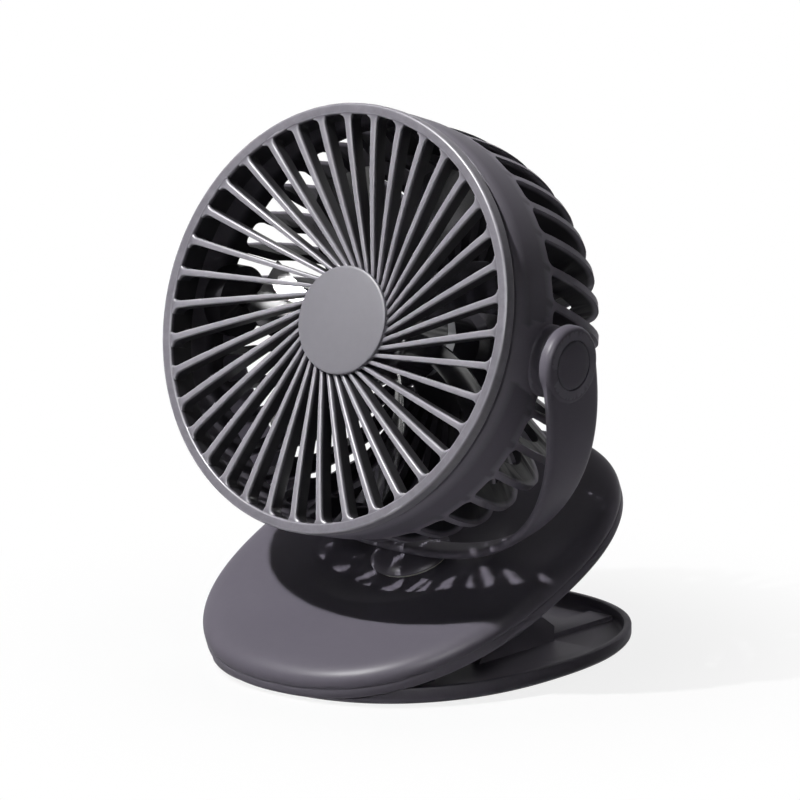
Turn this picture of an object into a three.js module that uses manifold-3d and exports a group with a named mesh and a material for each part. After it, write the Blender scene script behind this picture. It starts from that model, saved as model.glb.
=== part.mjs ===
// A clip fan. A round fan head with a swept grille tilts in a U-shaped yoke, and the yoke swivels on a
// flat oval base that holds the battery. The base is also the upper jaw of a sprung clip: squeezing the
// tail against the lower jaw opens the tips in front.
//
// Millimetres, +Z up. The lower jaw stands on Z = 0 with its oval centred on the origin. The fan blows
// towards -Y, the clip's tips point to -Y and its tail to +Y.
import * as THREE from "three";
import { mergeVertices } from "three/addons/utils/BufferGeometryUtils.js";
import Module from "manifold-3d";

const wasm = await Module();
wasm.setup();

// ---------------------------------------------------------------- driving dimensions

const seatGap = 0.3; // between two separate pieces that seat on or run in each other
const degree = Math.PI / 180;
const flatTolerance = 0.005; // faces this near to one plane are joined

// Both jaws share one oval outline, a superellipse.
const jawHalfLength = 66.4;
const jawHalfWidth = 54.8;
const jawPower = 2.33;
const jawSteps = 44;

// Lower jaw: a shallow tray.
const trayHeight = 5.6;
const trayWall = 2.2;
const trayFloor = 2;
const traySetBack = 2.9; // of its front behind the base's outline
const trayNarrower = 1.8; // on each side
const trayEdge = [
  [5, 0],
  [2.2, 0.5],
  [0.5, 1.6],
  [0, 2.6],
]; // inset and height, up the lower edge
const panelHeight = 1.3; // raised panel in the tail of the tray
const panelHalfWidth = 25;
const panelFront = 29.5;
const panelBack = 58.5;
const panelNotchHalfWidth = 16.5;
const panelNotchDepth = 11.5;

// Base, which is the upper jaw: it rests with its tips down on the lower jaw.
const baseTilt = 21.7 * degree;
const baseY = -1.7;
const baseZ = 25.1;
const coverHeight = 3.3; // bottom cover's rim, up to the parting line
const coverFloor = 1.6;
const coverWall = 2;
const baseHeight = 8.8;
const topFilletWidth = 8;
const topFilletPower = 2.5;
const topWall = 1.8;
const bellyHalfWidth = 22.5; // the cover's belly between the jaws, which holds the battery
const bellyFront = -15;
const bellyBack = jawHalfLength - 19.4;
const bellyDepth = 7.5;
const bellyWall = 1.4;
const bellyRound = 2.5;

// Clip hinge, across the jaws.
const hingeY = 8;
const hingeZ = 13.5;
const hingePinRadius = 2;
const hingePinHeadRadius = 3.4;
const hingePinHeadLength = 1;
const lowerEarX = 23.9; // inner face of each ear on the lower jaw
const lowerEarThickness = 3.2;
const lowerEarRadius = 6;
const upperEarThickness = 3;
const upperEarRadius = 5.5;
const springWireRadius = 0.8;
const springCoilRadius = 4.1;
const springTurns = 4;
const springPitch = 2;
const springLegReach = 19; // of each leg's end from the pin, along the wall it presses on

// Grip pads in the tips.
const gripHalfWidth = 34;
const gripFront = -47;
const gripBack = -29;
const lowerPadThickness = 2.1;
const padRidges = 5;
const padGroove = 0.8;

// Swivel of the yoke on the base.
const swivelL = 0; // along the base from the oval's centre
const dishRadius = jawHalfLength - 36.4;
const dishSeatRadius = 14.5;
const dishSeatHeight = 4.4;
const dishWall = 2;
const spindleRadius = 4.6;
const swivelWasherThickness = 0.5;
const swivelWasherRadius = 11;
const footRadius = 12;
const footHeight = 3.2;
const retainerRadius = 9;
const retainerThickness = 1.8;
const retainerCup = 0.6;
const screwClearance = 0.3;

// Yoke: a flat strap bent to a deep U, raked back from the swivel's axis.
const yokeRake = 11.7 * degree;
const yokeBelow = 5.5; // from the head's radius to the middle of the strap's lowest point
const yokePower = 2.4;
const yokeSteps = 32;
const strapBottomWidth = 8.5;
const strapTopThickness = 3.9;
const strapBottomThickness = 2.6;
const yokeBossRadius = 11.4;
const strapTopWidth = 2 * yokeBossRadius;
const yokeBossRound = 1.8;

// Fan head. Depths run along the fan's axis from the front face of the grille's ring.
const headTilt = 28 * degree; // from the yoke's plane
const tiltAxisDepth = 24.5;
const ringRadius = 62.5;
const ringInner = ringRadius - 3.9;
const ringBead = 4.6;
const spigotRadius = ringRadius - 2.2;
const spigotDepth = 10;
const ribCount = 38;
const ribOffset = 9.1; // of each rib's line from the centre, which sweeps the ribs
const ribWidth = 1.9; // at the ring
const ribHubWidth = 1;
const ribDepth = 5.4;
const ribCrown = 0.35;
const ribFlare = 2.2;
const ribFlareLength = 2.4;
const hubRadius = 15.5;
const hubFaceDepth = 5.4;
const hubWall = 1.6;
const hubLength = 7;
const discRadius = hubRadius + 0.3;
const discThickness = 0.9;

// Rear housing: a plain band in front and a vented bowl behind.
const bandRadius = ringRadius - 0.44;
const bandFront = 5;
const bandEnd = 26;
const bandEndRadius = bandRadius - 1.06;
const bandWall = 2.3;
const bowlFlatRadius = bandEndRadius - 25; // flat middle of the rear face
const housingDepth = 63.5;
const bowlPower = 2.5;
const ventRibRadialDepth = 8.5;
const ventRibRearDepth = 7;
const rearFaceThickness = 2.6;
const ventCount = 36;
const ventRibWidth = 2.1;
const ventFront = 25;
const ventInnerRadius = 20;
const bossVentFront = 36;
const towerRadius = 8.8;
const towerBore = 6.5;
const towerFront = 44.6;
const towerSeat = 2.4;
const rearCapRadius = 9;
const rearCapThickness = 1.3;

// Tilt pivots, one on each side.
const sideBossRadius = 9.6;
const sideBossFace = bandRadius + 3.14;
const sidePostRadius = 4.5;
const sidePostInner = bandRadius - 8;
const pivotScrewRadius = 1.5;
const pivotScrewHeadRadius = 3.8;
const pivotScrewHeadHeight = 1.3;
const pivotWasherThickness = 0.6;
const pivotWasherRadius = 8.4;
const capRadius = 7.1;
const capThickness = 1.2;

// Motor and rotor.
const motorRadius = 11.6;
const motorFront = 24.3;
const motorNose = 0.7;
const shaftRadius = 1.1;
const rotorHubRadius = 14.5;
const rotorHubWall = 1.5;
const rotorFront = 16;
const rotorBack = 36;
const bladeCount = 7;
const bladeTipRadius = bandEndRadius - ventRibRadialDepth - 2;
const bladeMiddle = 27;
const bladeThickness = 1.4;
const motorScrewOffset = 3.8;

// What the base holds.
const batteryHalfWidth = 20;
const batteryFront = 11;
const batteryBack = jawHalfLength - 23.9;
const batteryHeight = 7.8;
const boardFront = jawHalfLength - 21.9;
const boardBack = jawHalfLength - 5.4;
const boardHalfWidth = 17;
const boardThickness = 1;
const portHalfWidth = 4.4;
const portHeight = 3;
const portLength = 7.8;
const buttonL = jawHalfLength - 17.9;
const buttonRadius = 6;
const buttonTravel = 0.8;
const buttonStandOut = 0.6;
const buttonFlange = 0.8;
const switchHeight = 1.6;
const lightL = jawHalfLength - 29.4;
const lightCount = 4;
const lightSpacing = 5;
const lightRadius = 1;
const coverScrews = [
  [-44, -12],
  [44, -12],
  [-36, 33],
  [36, 33],
];
const coverScrewRadius = 1.2;
const coverScrewHeadRadius = 2.6;
const coverScrewHeadHeight = 1;
const postRadius = 3.4;

// ---------------------------------------------------------------- worked out from them

const trayPanelTop = trayFloor + panelHeight;
const cavityTop = baseHeight - topWall;
const dishUnder = dishSeatHeight - dishWall;
const footBottom = dishSeatHeight + swivelWasherThickness + 2 * seatGap;
const spindleEnd = dishUnder - 2 * seatGap;
const yokeDrop = bandRadius + yokeBelow;
const strapUnderside = yokeDrop + strapBottomThickness / 2;
const pivotHeight = strapUnderside + footHeight / 2;
const pivotWasherFace = sideBossFace + seatGap;
const strapFace = pivotWasherFace + pivotWasherThickness + seatGap;
const strapBossOuter = strapFace + strapTopThickness;
const strapMiddleX = strapFace + strapTopThickness / 2;
const pivotHeadSeat = strapFace + 1;
const capSeat = pivotHeadSeat + pivotScrewHeadHeight + 2 * seatGap;
const boardBottom = coverFloor + seatGap;
const boardTop = boardBottom + boardThickness;
const portBottom = boardTop + seatGap;

// ---------------------------------------------------------------- materials

const plastic = (color, roughness = 0.5) =>
  new THREE.MeshStandardMaterial({ color, roughness, metalness: 0 });
const metal = (color, roughness = 0.35) =>
  new THREE.MeshStandardMaterial({ color, roughness, metalness: 1 });
const shellPlastic = plastic(0x5f5a66, 0.55);
const grillePlastic = plastic(0x77727e, 0.45);
const discPlastic = plastic(0x8b8890, 0.5);
const rotorPlastic = plastic(0x3a373f, 0.3);
const steel = metal(0xb9bcc2);
const darkRubber = plastic(0x2b2930, 0.85);
const nylon = plastic(0xd8d8d2, 0.6);
const boardGreen = plastic(0x1f5b3a, 0.6);
const cellWrap = plastic(0x3f6ea8, 0.45);
const lens = plastic(0xe8e8e8, 0.2);

// ---------------------------------------------------------------- solid geometry

// A manifold solid from a closed three.js geometry, turned outwards if its faces point in.
function toSolid(geometry) {
  const bare = geometry.clone();
  bare.deleteAttribute("normal");
  bare.deleteAttribute("uv");
  const merged = mergeVertices(bare, 1e-4);
  const corners = merged.index.array;
  const triangles = [];
  for (let i = 0; i < corners.length; i += 3) {
    const [a, b, c] = corners.slice(i, i + 3);
    if (a !== b && b !== c && c !== a) triangles.push(a, b, c);
  }
  const build = (triVerts) =>
    new wasm.Manifold(
      new wasm.Mesh({
        numProp: 3,
        vertProperties: merged.attributes.position.array,
        triVerts: new Uint32Array(triVerts),
      }),
    );
  const solid = build(triangles);
  return solid.volume() < 0 ? build(triangles.reverse()) : solid;
}

function toGeometry(solid) {
  const mesh = solid.asOriginal().simplify(flatTolerance).getMesh();
  const geometry = new THREE.BufferGeometry();
  geometry.setAttribute("position", new THREE.BufferAttribute(mesh.vertProperties, 3));
  geometry.setIndex(new THREE.BufferAttribute(mesh.triVerts, 1));
  geometry.computeVertexNormals();
  return geometry;
}

const join = (...parts) => parts.map(toSolid).reduce((a, b) => a.add(b));
const cut = (solid, ...tools) => tools.map(toSolid).reduce((a, b) => a.subtract(b), solid);

// Turns of a geometry's own Y axis onto another axis.
const onto = {
  x: new THREE.Matrix4().makeRotationZ(-Math.PI / 2),
  y: new THREE.Matrix4(),
  z: new THREE.Matrix4().makeRotationX(Math.PI / 2),
};

// A solid of revolution from [radius, distance] pairs, about the x, y or z axis.
function revolve(profile, axis = "y", segments = 40) {
  const points = profile.map(([radius, along]) => new THREE.Vector2(radius, along));
  return new THREE.LatheGeometry(points, segments).applyMatrix4(onto[axis]);
}

// The same for a profile that closes on itself away from the axis.
const revolveLoop = (profile, axis, segments) => revolve([...profile, profile[0]], axis, segments);

// A round rod along an axis, from one distance to another, with its centre line at the offset given.
function rod(radius, from, to, axis, offset = [0, 0, 0], segments = 24) {
  const profile = [
    [0, from],
    [radius, from],
    [radius, to],
    [0, to],
  ];
  return revolve(profile, axis, segments).translate(...offset);
}

function block([x0, x1], [y0, y1], [z0, z1]) {
  const box = new THREE.BoxGeometry(x1 - x0, y1 - y0, z1 - z0);
  return box.translate((x0 + x1) / 2, (y0 + y1) / 2, (z0 + z1) / 2);
}

// A flat outline in Y and Z, extruded along X.
const alongX = new THREE.Matrix4().makeBasis(
  new THREE.Vector3(0, 1, 0),
  new THREE.Vector3(0, 0, 1),
  new THREE.Vector3(1, 0, 0),
);
function sidePlate(shape, x0, x1) {
  const plate = new THREE.ExtrudeGeometry(shape, { depth: x1 - x0, bevelEnabled: false });
  return plate.applyMatrix4(alongX).translate(x0, 0, 0);
}

// Skins a row of sections, each a loop of as many points, and closes both ends with a fan.
function loft(sections) {
  const count = sections[0].length;
  const points = sections.flat();
  const faces = [];
  for (let row = 0; row + 1 < sections.length; row++) {
    for (let i = 0; i < count; i++) {
      const a = row * count + i;
      const b = row * count + ((i + 1) % count);
      faces.push(a, b, b + count, a, b + count, a + count);
    }
  }
  const cap = (start, flip) => {
    const middle = new THREE.Vector3();
    for (let i = 0; i < count; i++) middle.addScaledVector(points[start + i], 1 / count);
    points.push(middle);
    const centre = points.length - 1;
    for (let i = 0; i < count; i++) {
      const a = start + i;
      const b = start + ((i + 1) % count);
      faces.push(centre, ...(flip ? [b, a] : [a, b]));
    }
  };
  const lastRow = (sections.length - 1) * count;
  cap(0, true);
  cap(lastRow, false);
  const geometry = new THREE.BufferGeometry().setFromPoints(points);
  geometry.setIndex(faces);
  return geometry;
}

// A round wire along a path that never runs along X.
function tube(path, radius, sides) {
  const sections = path.map((point, i) => {
    const ahead = path[Math.min(i + 1, path.length - 1)];
    const behind = path[Math.max(i - 1, 0)];
    const along = ahead.clone().sub(behind).normalize();
    const side = new THREE.Vector3(1, 0, 0).cross(along).normalize();
    const other = along.clone().cross(side);
    return Array.from({ length: sides }, (_, k) => {
      const turn = (k / sides) * 2 * Math.PI;
      const spoke = side.clone().multiplyScalar(radius * Math.cos(turn));
      return spoke.addScaledVector(other, radius * Math.sin(turn)).add(point);
    });
  });
  return loft(sections);
}

const signedPower = (value, power) => Math.sign(value) * Math.abs(value) ** power;

// The jaws' oval, drawn in by an inset, at one height.
const baseOval = { width: jawHalfWidth, length: jawHalfLength, middle: 0 };
const trayOval = {
  width: jawHalfWidth - trayNarrower,
  length: jawHalfLength - traySetBack / 2,
  middle: traySetBack / 2,
};
function ovalSection({ width, length, middle }, inset, z) {
  return Array.from({ length: jawSteps }, (_, i) => {
    const turn = (2 * Math.PI * i) / jawSteps;
    const x = (width - inset) * signedPower(Math.cos(turn), 2 / jawPower);
    const y = middle + (length - inset) * signedPower(Math.sin(turn), 2 / jawPower);
    return new THREE.Vector3(x, y, z);
  });
}
const ovalSolid = (steps, oval = baseOval) =>
  loft(steps.map(([inset, z]) => ovalSection(oval, inset, z)));

// A rounded rectangle drawn in by an inset, at one height.
function roundedSection([x0, x1], [y0, y1], radius, inset, z) {
  const corner = Math.max(radius - inset, 0.2);
  const shape = new THREE.Shape();
  const [left, right, front, back] = [x0 + inset, x1 - inset, y0 + inset, y1 - inset];
  shape.absarc(right - corner, back - corner, corner, 0, Math.PI / 2);
  shape.absarc(left + corner, back - corner, corner, Math.PI / 2, Math.PI);
  shape.absarc(left + corner, front + corner, corner, Math.PI, 1.5 * Math.PI);
  shape.absarc(right - corner, front + corner, corner, 1.5 * Math.PI, 2 * Math.PI);
  return shape.getPoints(4).map(({ x, y }) => new THREE.Vector3(x, y, z));
}

// ---------------------------------------------------------------- lower jaw

const hingeEarShape = (foot, radius, [y, z]) => {
  const shape = new THREE.Shape();
  shape.moveTo(...foot[0]);
  for (const point of foot.slice(1)) shape.lineTo(...point);
  const start = Math.atan2(foot.at(-1)[1] - z, foot.at(-1)[0] - y);
  const end = Math.atan2(foot[0][1] - z, foot[0][0] - y);
  const lean = (distance) => Math.acos(radius / distance);
  const reach = (point) => Math.hypot(point[0] - y, point[1] - z);
  const first = start + lean(reach(foot.at(-1)));
  let last = end - lean(reach(foot[0]));
  if (last < first) last += 2 * Math.PI;
  shape.absarc(y, z, radius, first, last, false);
  return shape;
};

// Everything of the base is placed by this matrix, so its inverse brings a point of the lower jaw up.
const baseMatrix = new THREE.Matrix4()
  .makeRotationX(baseTilt)
  .setPosition(0, baseY, baseZ);
const inBase = (y, z) => {
  const point = new THREE.Vector3(0, y, z).applyMatrix4(baseMatrix.clone().invert());
  return [point.y, point.z];
};

function lowerJaw() {
  const outside = ovalSolid([...trayEdge, [0, trayHeight]], trayOval);
  const inside = ovalSolid(
    [
      [trayWall, trayFloor],
      [trayWall, trayHeight + 1],
    ],
    trayOval,
  );
  const tray = toSolid(outside).subtract(toSolid(inside));
  const panel = cut(
    toSolid(
      block([-panelHalfWidth, panelHalfWidth], [panelFront, panelBack], [1, trayPanelTop]),
    ),
    block(
      [-panelNotchHalfWidth, panelNotchHalfWidth],
      [panelBack - panelNotchDepth, panelBack + 1],
      [trayFloor + panelHeight / 4, trayPanelTop + 1],
    ),
  ).intersect(toSolid(outside));
  const foot = [
    [hingeY - 14, 1],
    [panelFront - 0.5, 1],
    [panelFront - 0.5, trayFloor + 4.5],
  ];
  const shape = hingeEarShape(foot, lowerEarRadius, [hingeY, hingeZ]);
  const ears = [-lowerEarX - lowerEarThickness, lowerEarX].map((x) =>
    toSolid(sidePlate(shape, x, x + lowerEarThickness)),
  );
  const pinHole = rod(
    hingePinRadius + seatGap,
    -jawHalfWidth,
    jawHalfWidth,
    "x",
    [0, hingeY, hingeZ],
  );
  const reach = 2 * jawHalfLength;
  const meetingCut = block([-reach, reach], [-reach, reach], [-seatGap, reach]).applyMatrix4(
    baseMatrix,
  );
  const jaw = tray.add(panel).add(ears[0]).add(ears[1]);
  return cut(jaw, pinHole, meetingCut);
}

// A pad's outline with ridges across its working face, which faces up here.
function ridgedPad(front, back, low, high) {
  const shape = new THREE.Shape();
  shape.moveTo(front, low);
  shape.lineTo(back, low);
  shape.lineTo(back, high);
  const pitch = (back - front) / padRidges;
  for (let i = padRidges - 1; i > 0; i--) {
    const middle = front + i * pitch;
    shape.lineTo(middle + padGroove, high);
    shape.lineTo(middle, high - padGroove);
    shape.lineTo(middle - padGroove, high);
  }
  shape.lineTo(front, high);
  shape.closePath();
  return shape;
}

const lowerPadTop = trayFloor + seatGap + lowerPadThickness;

function lowerGripPad() {
  const shape = ridgedPad(gripFront, gripBack, trayFloor + seatGap, lowerPadTop);
  return toSolid(sidePlate(shape, -gripHalfWidth + 4, gripHalfWidth - 4));
}

function upperGripPad() {
  const facing = lowerPadTop + seatGap;
  const pitch = (gripBack - gripFront) / padRidges;
  const back = [inBase(gripBack, facing)[0] - 1, -seatGap];
  const shape = new THREE.Shape();
  shape.moveTo(...inBase(gripFront, facing));
  for (let i = 1; i < padRidges; i++) {
    const middle = gripFront + i * pitch;
    shape.lineTo(...inBase(middle - padGroove, facing));
    shape.lineTo(...inBase(middle, facing + padGroove));
    shape.lineTo(...inBase(middle + padGroove, facing));
  }
  shape.lineTo(...inBase(gripBack - 2.5, facing));
  shape.quadraticCurveTo(...inBase(gripBack, facing), ...inBase(gripBack, facing + 2.5));
  shape.lineTo(...back);
  shape.lineTo(inBase(gripFront, facing)[0] - 0.1, -seatGap);
  shape.closePath();
  return toSolid(sidePlate(shape, -gripHalfWidth, gripHalfWidth));
}

const hingePinHalf = lowerEarX + lowerEarThickness + seatGap + upperEarThickness + seatGap;

function hingePin() {
  const end = hingePinHalf + hingePinHeadLength;
  const profile = [
    [0, -end],
    [hingePinHeadRadius - 0.4, -end],
    [hingePinHeadRadius, -end + 0.4],
    [hingePinHeadRadius, -hingePinHalf],
    [hingePinRadius, -hingePinHalf],
    [hingePinRadius, hingePinHalf],
    [hingePinHeadRadius, hingePinHalf],
    [hingePinHeadRadius, end - 0.4],
    [hingePinHeadRadius - 0.4, end],
    [0, end],
  ];
  return toSolid(revolve(profile, "x", 16).translate(0, hingeY, hingeZ));
}

// A coil round the pin, with one leg on the tray's floor and one under the base's belly. It winds
// backwards, from the coil's underside round the front to its top.
function torsionSpring() {
  const centre = [hingeY, hingeZ];
  const seat = springWireRadius + seatGap;
  const lowerEnd = [hingeY + springLegReach, trayFloor + seat];
  const [hingeL] = inBase(hingeY, hingeZ);
  const under = new THREE.Vector3(0, hingeL + springLegReach, -bellyDepth - seat);
  under.applyMatrix4(baseMatrix);
  const upperEnd = [under.y, under.z];
  const polar = ([y, z]) => {
    const [dy, dz] = [y - centre[0], z - centre[1]];
    return { angle: Math.atan2(dz, dy), open: Math.acos(springCoilRadius / Math.hypot(dy, dz)) };
  };
  const lower = polar(lowerEnd);
  const upper = polar(upperEnd);
  const start = lower.angle - lower.open;
  const end = upper.angle + upper.open - 2 * Math.PI * (springTurns + 1);
  const half = (springTurns * springPitch) / 2;
  const steps = Math.ceil((start - end) / (2 * Math.PI / 8));
  const coil = Array.from({ length: steps + 1 }, (_, i) => {
    const turn = start + ((end - start) * i) / steps;
    const x = -half + (2 * half * i) / steps;
    const [y, z] = [Math.cos(turn), Math.sin(turn)].map((v, k) => centre[k] + springCoilRadius * v);
    return new THREE.Vector3(x, y, z);
  });
  const path = [
    new THREE.Vector3(-half, ...lowerEnd),
    ...coil,
    new THREE.Vector3(half, ...upperEnd),
  ];
  return toSolid(tube(path, springWireRadius, 5));
}

// ---------------------------------------------------------------- base

// Insets and heights of the top shell's rounded edge, a quarter superellipse.
function domeSteps(inset, from, to, width, steps) {
  return Array.from({ length: steps + 1 }, (_, i) => {
    const turn = (i / steps) * (Math.PI / 2);
    const drawnIn = 1 - Math.cos(turn) ** (2 / topFilletPower);
    const risen = Math.sin(turn) ** (2 / topFilletPower);
    return [inset + width * drawnIn, from + (to - from) * risen];
  });
}

const partingZ = coverHeight + seatGap;
const portSlot = () =>
  block(
    [-portHalfWidth - 0.5, portHalfWidth + 0.5],
    [boardBack - 4, jawHalfLength + 1],
    [portBottom - 0.4, portBottom + portHeight + 0.4],
  );

function baseTopShell() {
  const outside = ovalSolid(domeSteps(0, partingZ, baseHeight, topFilletWidth, 5));
  const inside = ovalSolid([
    [topWall, partingZ - 1],
    ...domeSteps(topWall, partingZ, cavityTop, topFilletWidth - topWall, 3),
  ]);
  const dishUnderside = revolve(
    [
      [0, dishUnder],
      [dishSeatRadius, dishUnder],
      [dishRadius, cavityTop + 0.5],
      [0, cavityTop + 0.5],
    ],
    "z",
  );
  const dish = revolve(
    [
      [0, dishSeatHeight],
      [dishSeatRadius, dishSeatHeight],
      [dishRadius, baseHeight + 0.02],
      [dishRadius, baseHeight + 5],
      [0, baseHeight + 5],
    ],
    "z",
  );
  let shell = toSolid(outside).subtract(toSolid(inside));
  shell = shell.add(toSolid(dishUnderside.translate(0, swivelL, 0)));
  for (const [x, y] of coverScrews) {
    const post = rod(postRadius, postBottom, cavityTop + 0.5, "z", [x, y, 0], 12);
    shell = shell.add(toSolid(post));
  }
  const screwHoles = coverScrews.map(([x, y]) =>
    rod(coverScrewRadius + screwClearance, 0, cavityTop, "z", [x, y, 0], 8),
  );
  const lightHoles = lightPlaces.map((x) =>
    rod(lightRadius + seatGap, cavityTop - 1, baseHeight + 1, "z", [x, lightL, 0], 8),
  );
  return cut(
    shell,
    dish.translate(0, swivelL, 0),
    rod(spindleRadius + seatGap, 0, baseHeight, "z", [0, swivelL, 0], 32),
    rod(buttonRadius + seatGap, cavityTop - 1, baseHeight + 1, "z", [0, buttonL, 0], 32),
    portSlot(),
    ...screwHoles,
    ...lightHoles,
  );
}

const screwSeat = coverScrewHeadHeight + seatGap;
const postBottom = screwSeat + 1.3 + seatGap;
const lightPlaces = Array.from(
  { length: lightCount },
  (_, i) => (i - (lightCount - 1) / 2) * lightSpacing,
);

function baseBottomCover() {
  const outside = ovalSolid([
    [1.1, 0],
    [0.3, 0.4],
    [0, 1.1],
    [0, coverHeight],
  ]);
  const inside = ovalSolid([
    [coverWall, coverFloor],
    [coverWall, coverHeight + 1],
  ]);
  const across = [-bellyHalfWidth, bellyHalfWidth];
  const along = [bellyFront, bellyBack];
  const belly = loft([
    roundedSection(across, along, 5, bellyRound, -bellyDepth),
    roundedSection(across, along, 5, bellyRound * 0.3, -bellyDepth + bellyRound * 0.3),
    roundedSection(across, along, 5, 0, -bellyDepth + bellyRound),
    roundedSection(across, along, 5, 0, coverFloor - 0.2),
  ]);
  const pocket = loft([
    roundedSection(across, along, 5, bellyWall, -bellyDepth + bellyWall),
    roundedSection(across, along, 5, bellyWall, coverFloor + 1),
  ]);
  const ear = hingeEarShape(
    [
      [inBase(hingeY, hingeZ)[0] + 12, 0.6],
      [inBase(hingeY, hingeZ)[0] - 12, 0.6],
    ],
    upperEarRadius,
    inBase(hingeY, hingeZ),
  );
  const earX = lowerEarX + lowerEarThickness + seatGap;
  let cover = toSolid(outside).subtract(toSolid(inside)).add(toSolid(belly));
  for (const x of [-earX - upperEarThickness, earX]) {
    cover = cover.add(toSolid(sidePlate(ear, x, x + upperEarThickness)));
  }
  for (const [x, y] of coverScrews) {
    const pad = rod(postRadius, coverFloor - 0.2, postBottom - seatGap, "z", [x, y, 0], 12);
    cover = cover.add(toSolid(pad));
  }
  const [hingeL, hingeN] = inBase(hingeY, hingeZ);
  const screwHoles = coverScrews.flatMap(([x, y]) => [
    rod(coverScrewRadius + screwClearance, -1, postBottom, "z", [x, y, 0], 8),
    rod(coverScrewHeadRadius + screwClearance, -1, screwSeat, "z", [x, y, 0], 12),
  ]);
  return cut(
    cover,
    pocket,
    rod(hingePinRadius + seatGap, -jawHalfWidth, jawHalfWidth, "x", [0, hingeL, hingeN]),
    portSlot(),
    ...screwHoles,
  );
}

function coverScrew() {
  const headBottom = screwSeat - seatGap - coverScrewHeadHeight + 0.05;
  const headTop = headBottom + coverScrewHeadHeight;
  const tip = cavityTop - 0.8;
  return toSolid(
    revolve(
      [
        [0, headBottom],
        [coverScrewHeadRadius, headBottom],
        [coverScrewHeadRadius, headTop],
        [coverScrewRadius, headTop],
        [coverScrewRadius, tip - 0.8],
        [0, tip],
      ],
      "z",
      12,
    ),
  );
}

function batteryCell() {
  const bottom = -bellyDepth + bellyWall + seatGap;
  const across = [-batteryHalfWidth, batteryHalfWidth];
  const along = [batteryFront, batteryBack];
  return toSolid(
    loft([
      roundedSection(across, along, 3, 1, bottom),
      roundedSection(across, along, 3, 0, bottom + 1),
      roundedSection(across, along, 3, 0, bottom + batteryHeight - 1),
      roundedSection(across, along, 3, 1, bottom + batteryHeight),
    ]),
  );
}

const circuitBoard = () =>
  toSolid(
    block([-boardHalfWidth, boardHalfWidth], [boardFront, boardBack], [boardBottom, boardTop]),
  );

const tactSwitch = () =>
  toSolid(block([-3, 3], [buttonL - 3, buttonL + 3], [portBottom, portBottom + switchHeight]));

function chargingPort() {
  const back = boardBack - 4;
  const front = back + portLength;
  const top = portBottom + portHeight;
  const shell = block([-portHalfWidth, portHalfWidth], [back + 0.01, front], [portBottom, top]);
  const mouth = block(
    [-portHalfWidth + 0.5, portHalfWidth - 0.5],
    [back + 2, front + 1],
    [portBottom + 0.5, top - 0.5],
  );
  const tongue = block([-3, 3], [back + 1, front - 0.8], [portBottom + 1.1, top - 1.1]);
  return cut(toSolid(shell), mouth).add(toSolid(tongue));
}

function powerButton() {
  const flangeTop = cavityTop - seatGap;
  const top = baseHeight + buttonStandOut;
  return toSolid(
    revolve(
      [
        [0, flangeTop - buttonFlange],
        [buttonRadius + 1.4, flangeTop - buttonFlange],
        [buttonRadius + 1.4, flangeTop],
        [buttonRadius, flangeTop],
        [buttonRadius, top - 0.5],
        [buttonRadius - 0.6, top],
        [buttonRadius - 2, top - 0.1],
        [0, top - 0.5],
      ],
      "z",
      24,
    ).translate(0, buttonL, 0),
  );
}

function indicatorLightPipe() {
  const top = cavityTop - seatGap;
  const span = lightPlaces.at(-1) + 2;
  let pipe = toSolid(block([-span, span], [lightL - 1.3, lightL + 1.3], [top - 1, top]));
  for (const x of lightPlaces) {
    pipe = pipe.add(
      toSolid(rod(lightRadius, top - 0.5, baseHeight + 0.1, "z", [x, lightL, 0], 8)),
    );
  }
  return pipe;
}

// ---------------------------------------------------------------- swivel and yoke

function swivelWasher() {
  const bottom = dishSeatHeight + seatGap;
  const top = bottom + swivelWasherThickness;
  const inner = spindleRadius + 0.6;
  return toSolid(
    revolveLoop(
      [
        [inner, bottom],
        [swivelWasherRadius, bottom],
        [swivelWasherRadius, top],
        [inner, top],
      ],
      "z",
      24,
    ),
  );
}

const retainerTop = dishUnder - seatGap;

function swivelRetainer() {
  const bottom = retainerTop - retainerThickness;
  const floor = spindleEnd - seatGap;
  return toSolid(
    revolveLoop(
      [
        [coverScrewRadius + screwClearance, bottom],
        [retainerRadius, bottom],
        [retainerRadius, retainerTop],
        [spindleRadius + seatGap, retainerTop],
        [spindleRadius + seatGap, floor],
        [coverScrewRadius + screwClearance, floor],
      ],
      "z",
      24,
    ),
  );
}

function swivelScrew() {
  const headTop = retainerTop - retainerThickness - seatGap;
  return toSolid(
    revolve(
      [
        [0, headTop - 1.4],
        [2.6, headTop - 1.4],
        [3, headTop - 1],
        [3, headTop],
        [coverScrewRadius, headTop],
        [coverScrewRadius, footBottom],
        [0, footBottom + 1],
      ],
      "z",
      16,
    ),
  );
}

// The strap's middle line from the right pivot, down and round, to the left one.
function strapPoint(share) {
  const turn = share * Math.PI;
  const x = strapMiddleX * signedPower(Math.cos(turn), 2 / yokePower);
  const drop = yokeDrop * Math.abs(Math.sin(turn)) ** (2 / yokePower);
  return new THREE.Vector3(x, 0, -drop);
}

function strapSection(share) {
  const middle = strapPoint(share);
  const step = 1e-3;
  const ahead = strapPoint(Math.min(share + step, 1));
  const behind = strapPoint(Math.max(share - step, 0));
  const along = ahead.sub(behind).normalize();
  const outward = new THREE.Vector3(-along.z, 0, along.x);
  const low = -middle.z / yokeDrop;
  const taper = low ** 2.2;
  const width = strapTopWidth + (strapBottomWidth - strapTopWidth) * taper;
  const thickness =
    strapTopThickness - 0.4 + (strapBottomThickness - strapTopThickness + 0.4) * low;
  const corners = 8;
  return Array.from({ length: corners }, (_, i) => {
    const turn = ((i + 0.5) / corners) * 2 * Math.PI;
    const across = (width / 2) * signedPower(Math.cos(turn), 0.45);
    const through = (thickness / 2) * signedPower(Math.sin(turn), 0.6);
    return new THREE.Vector3(0, across, 0).add(middle).addScaledVector(outward, through);
  });
}

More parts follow.
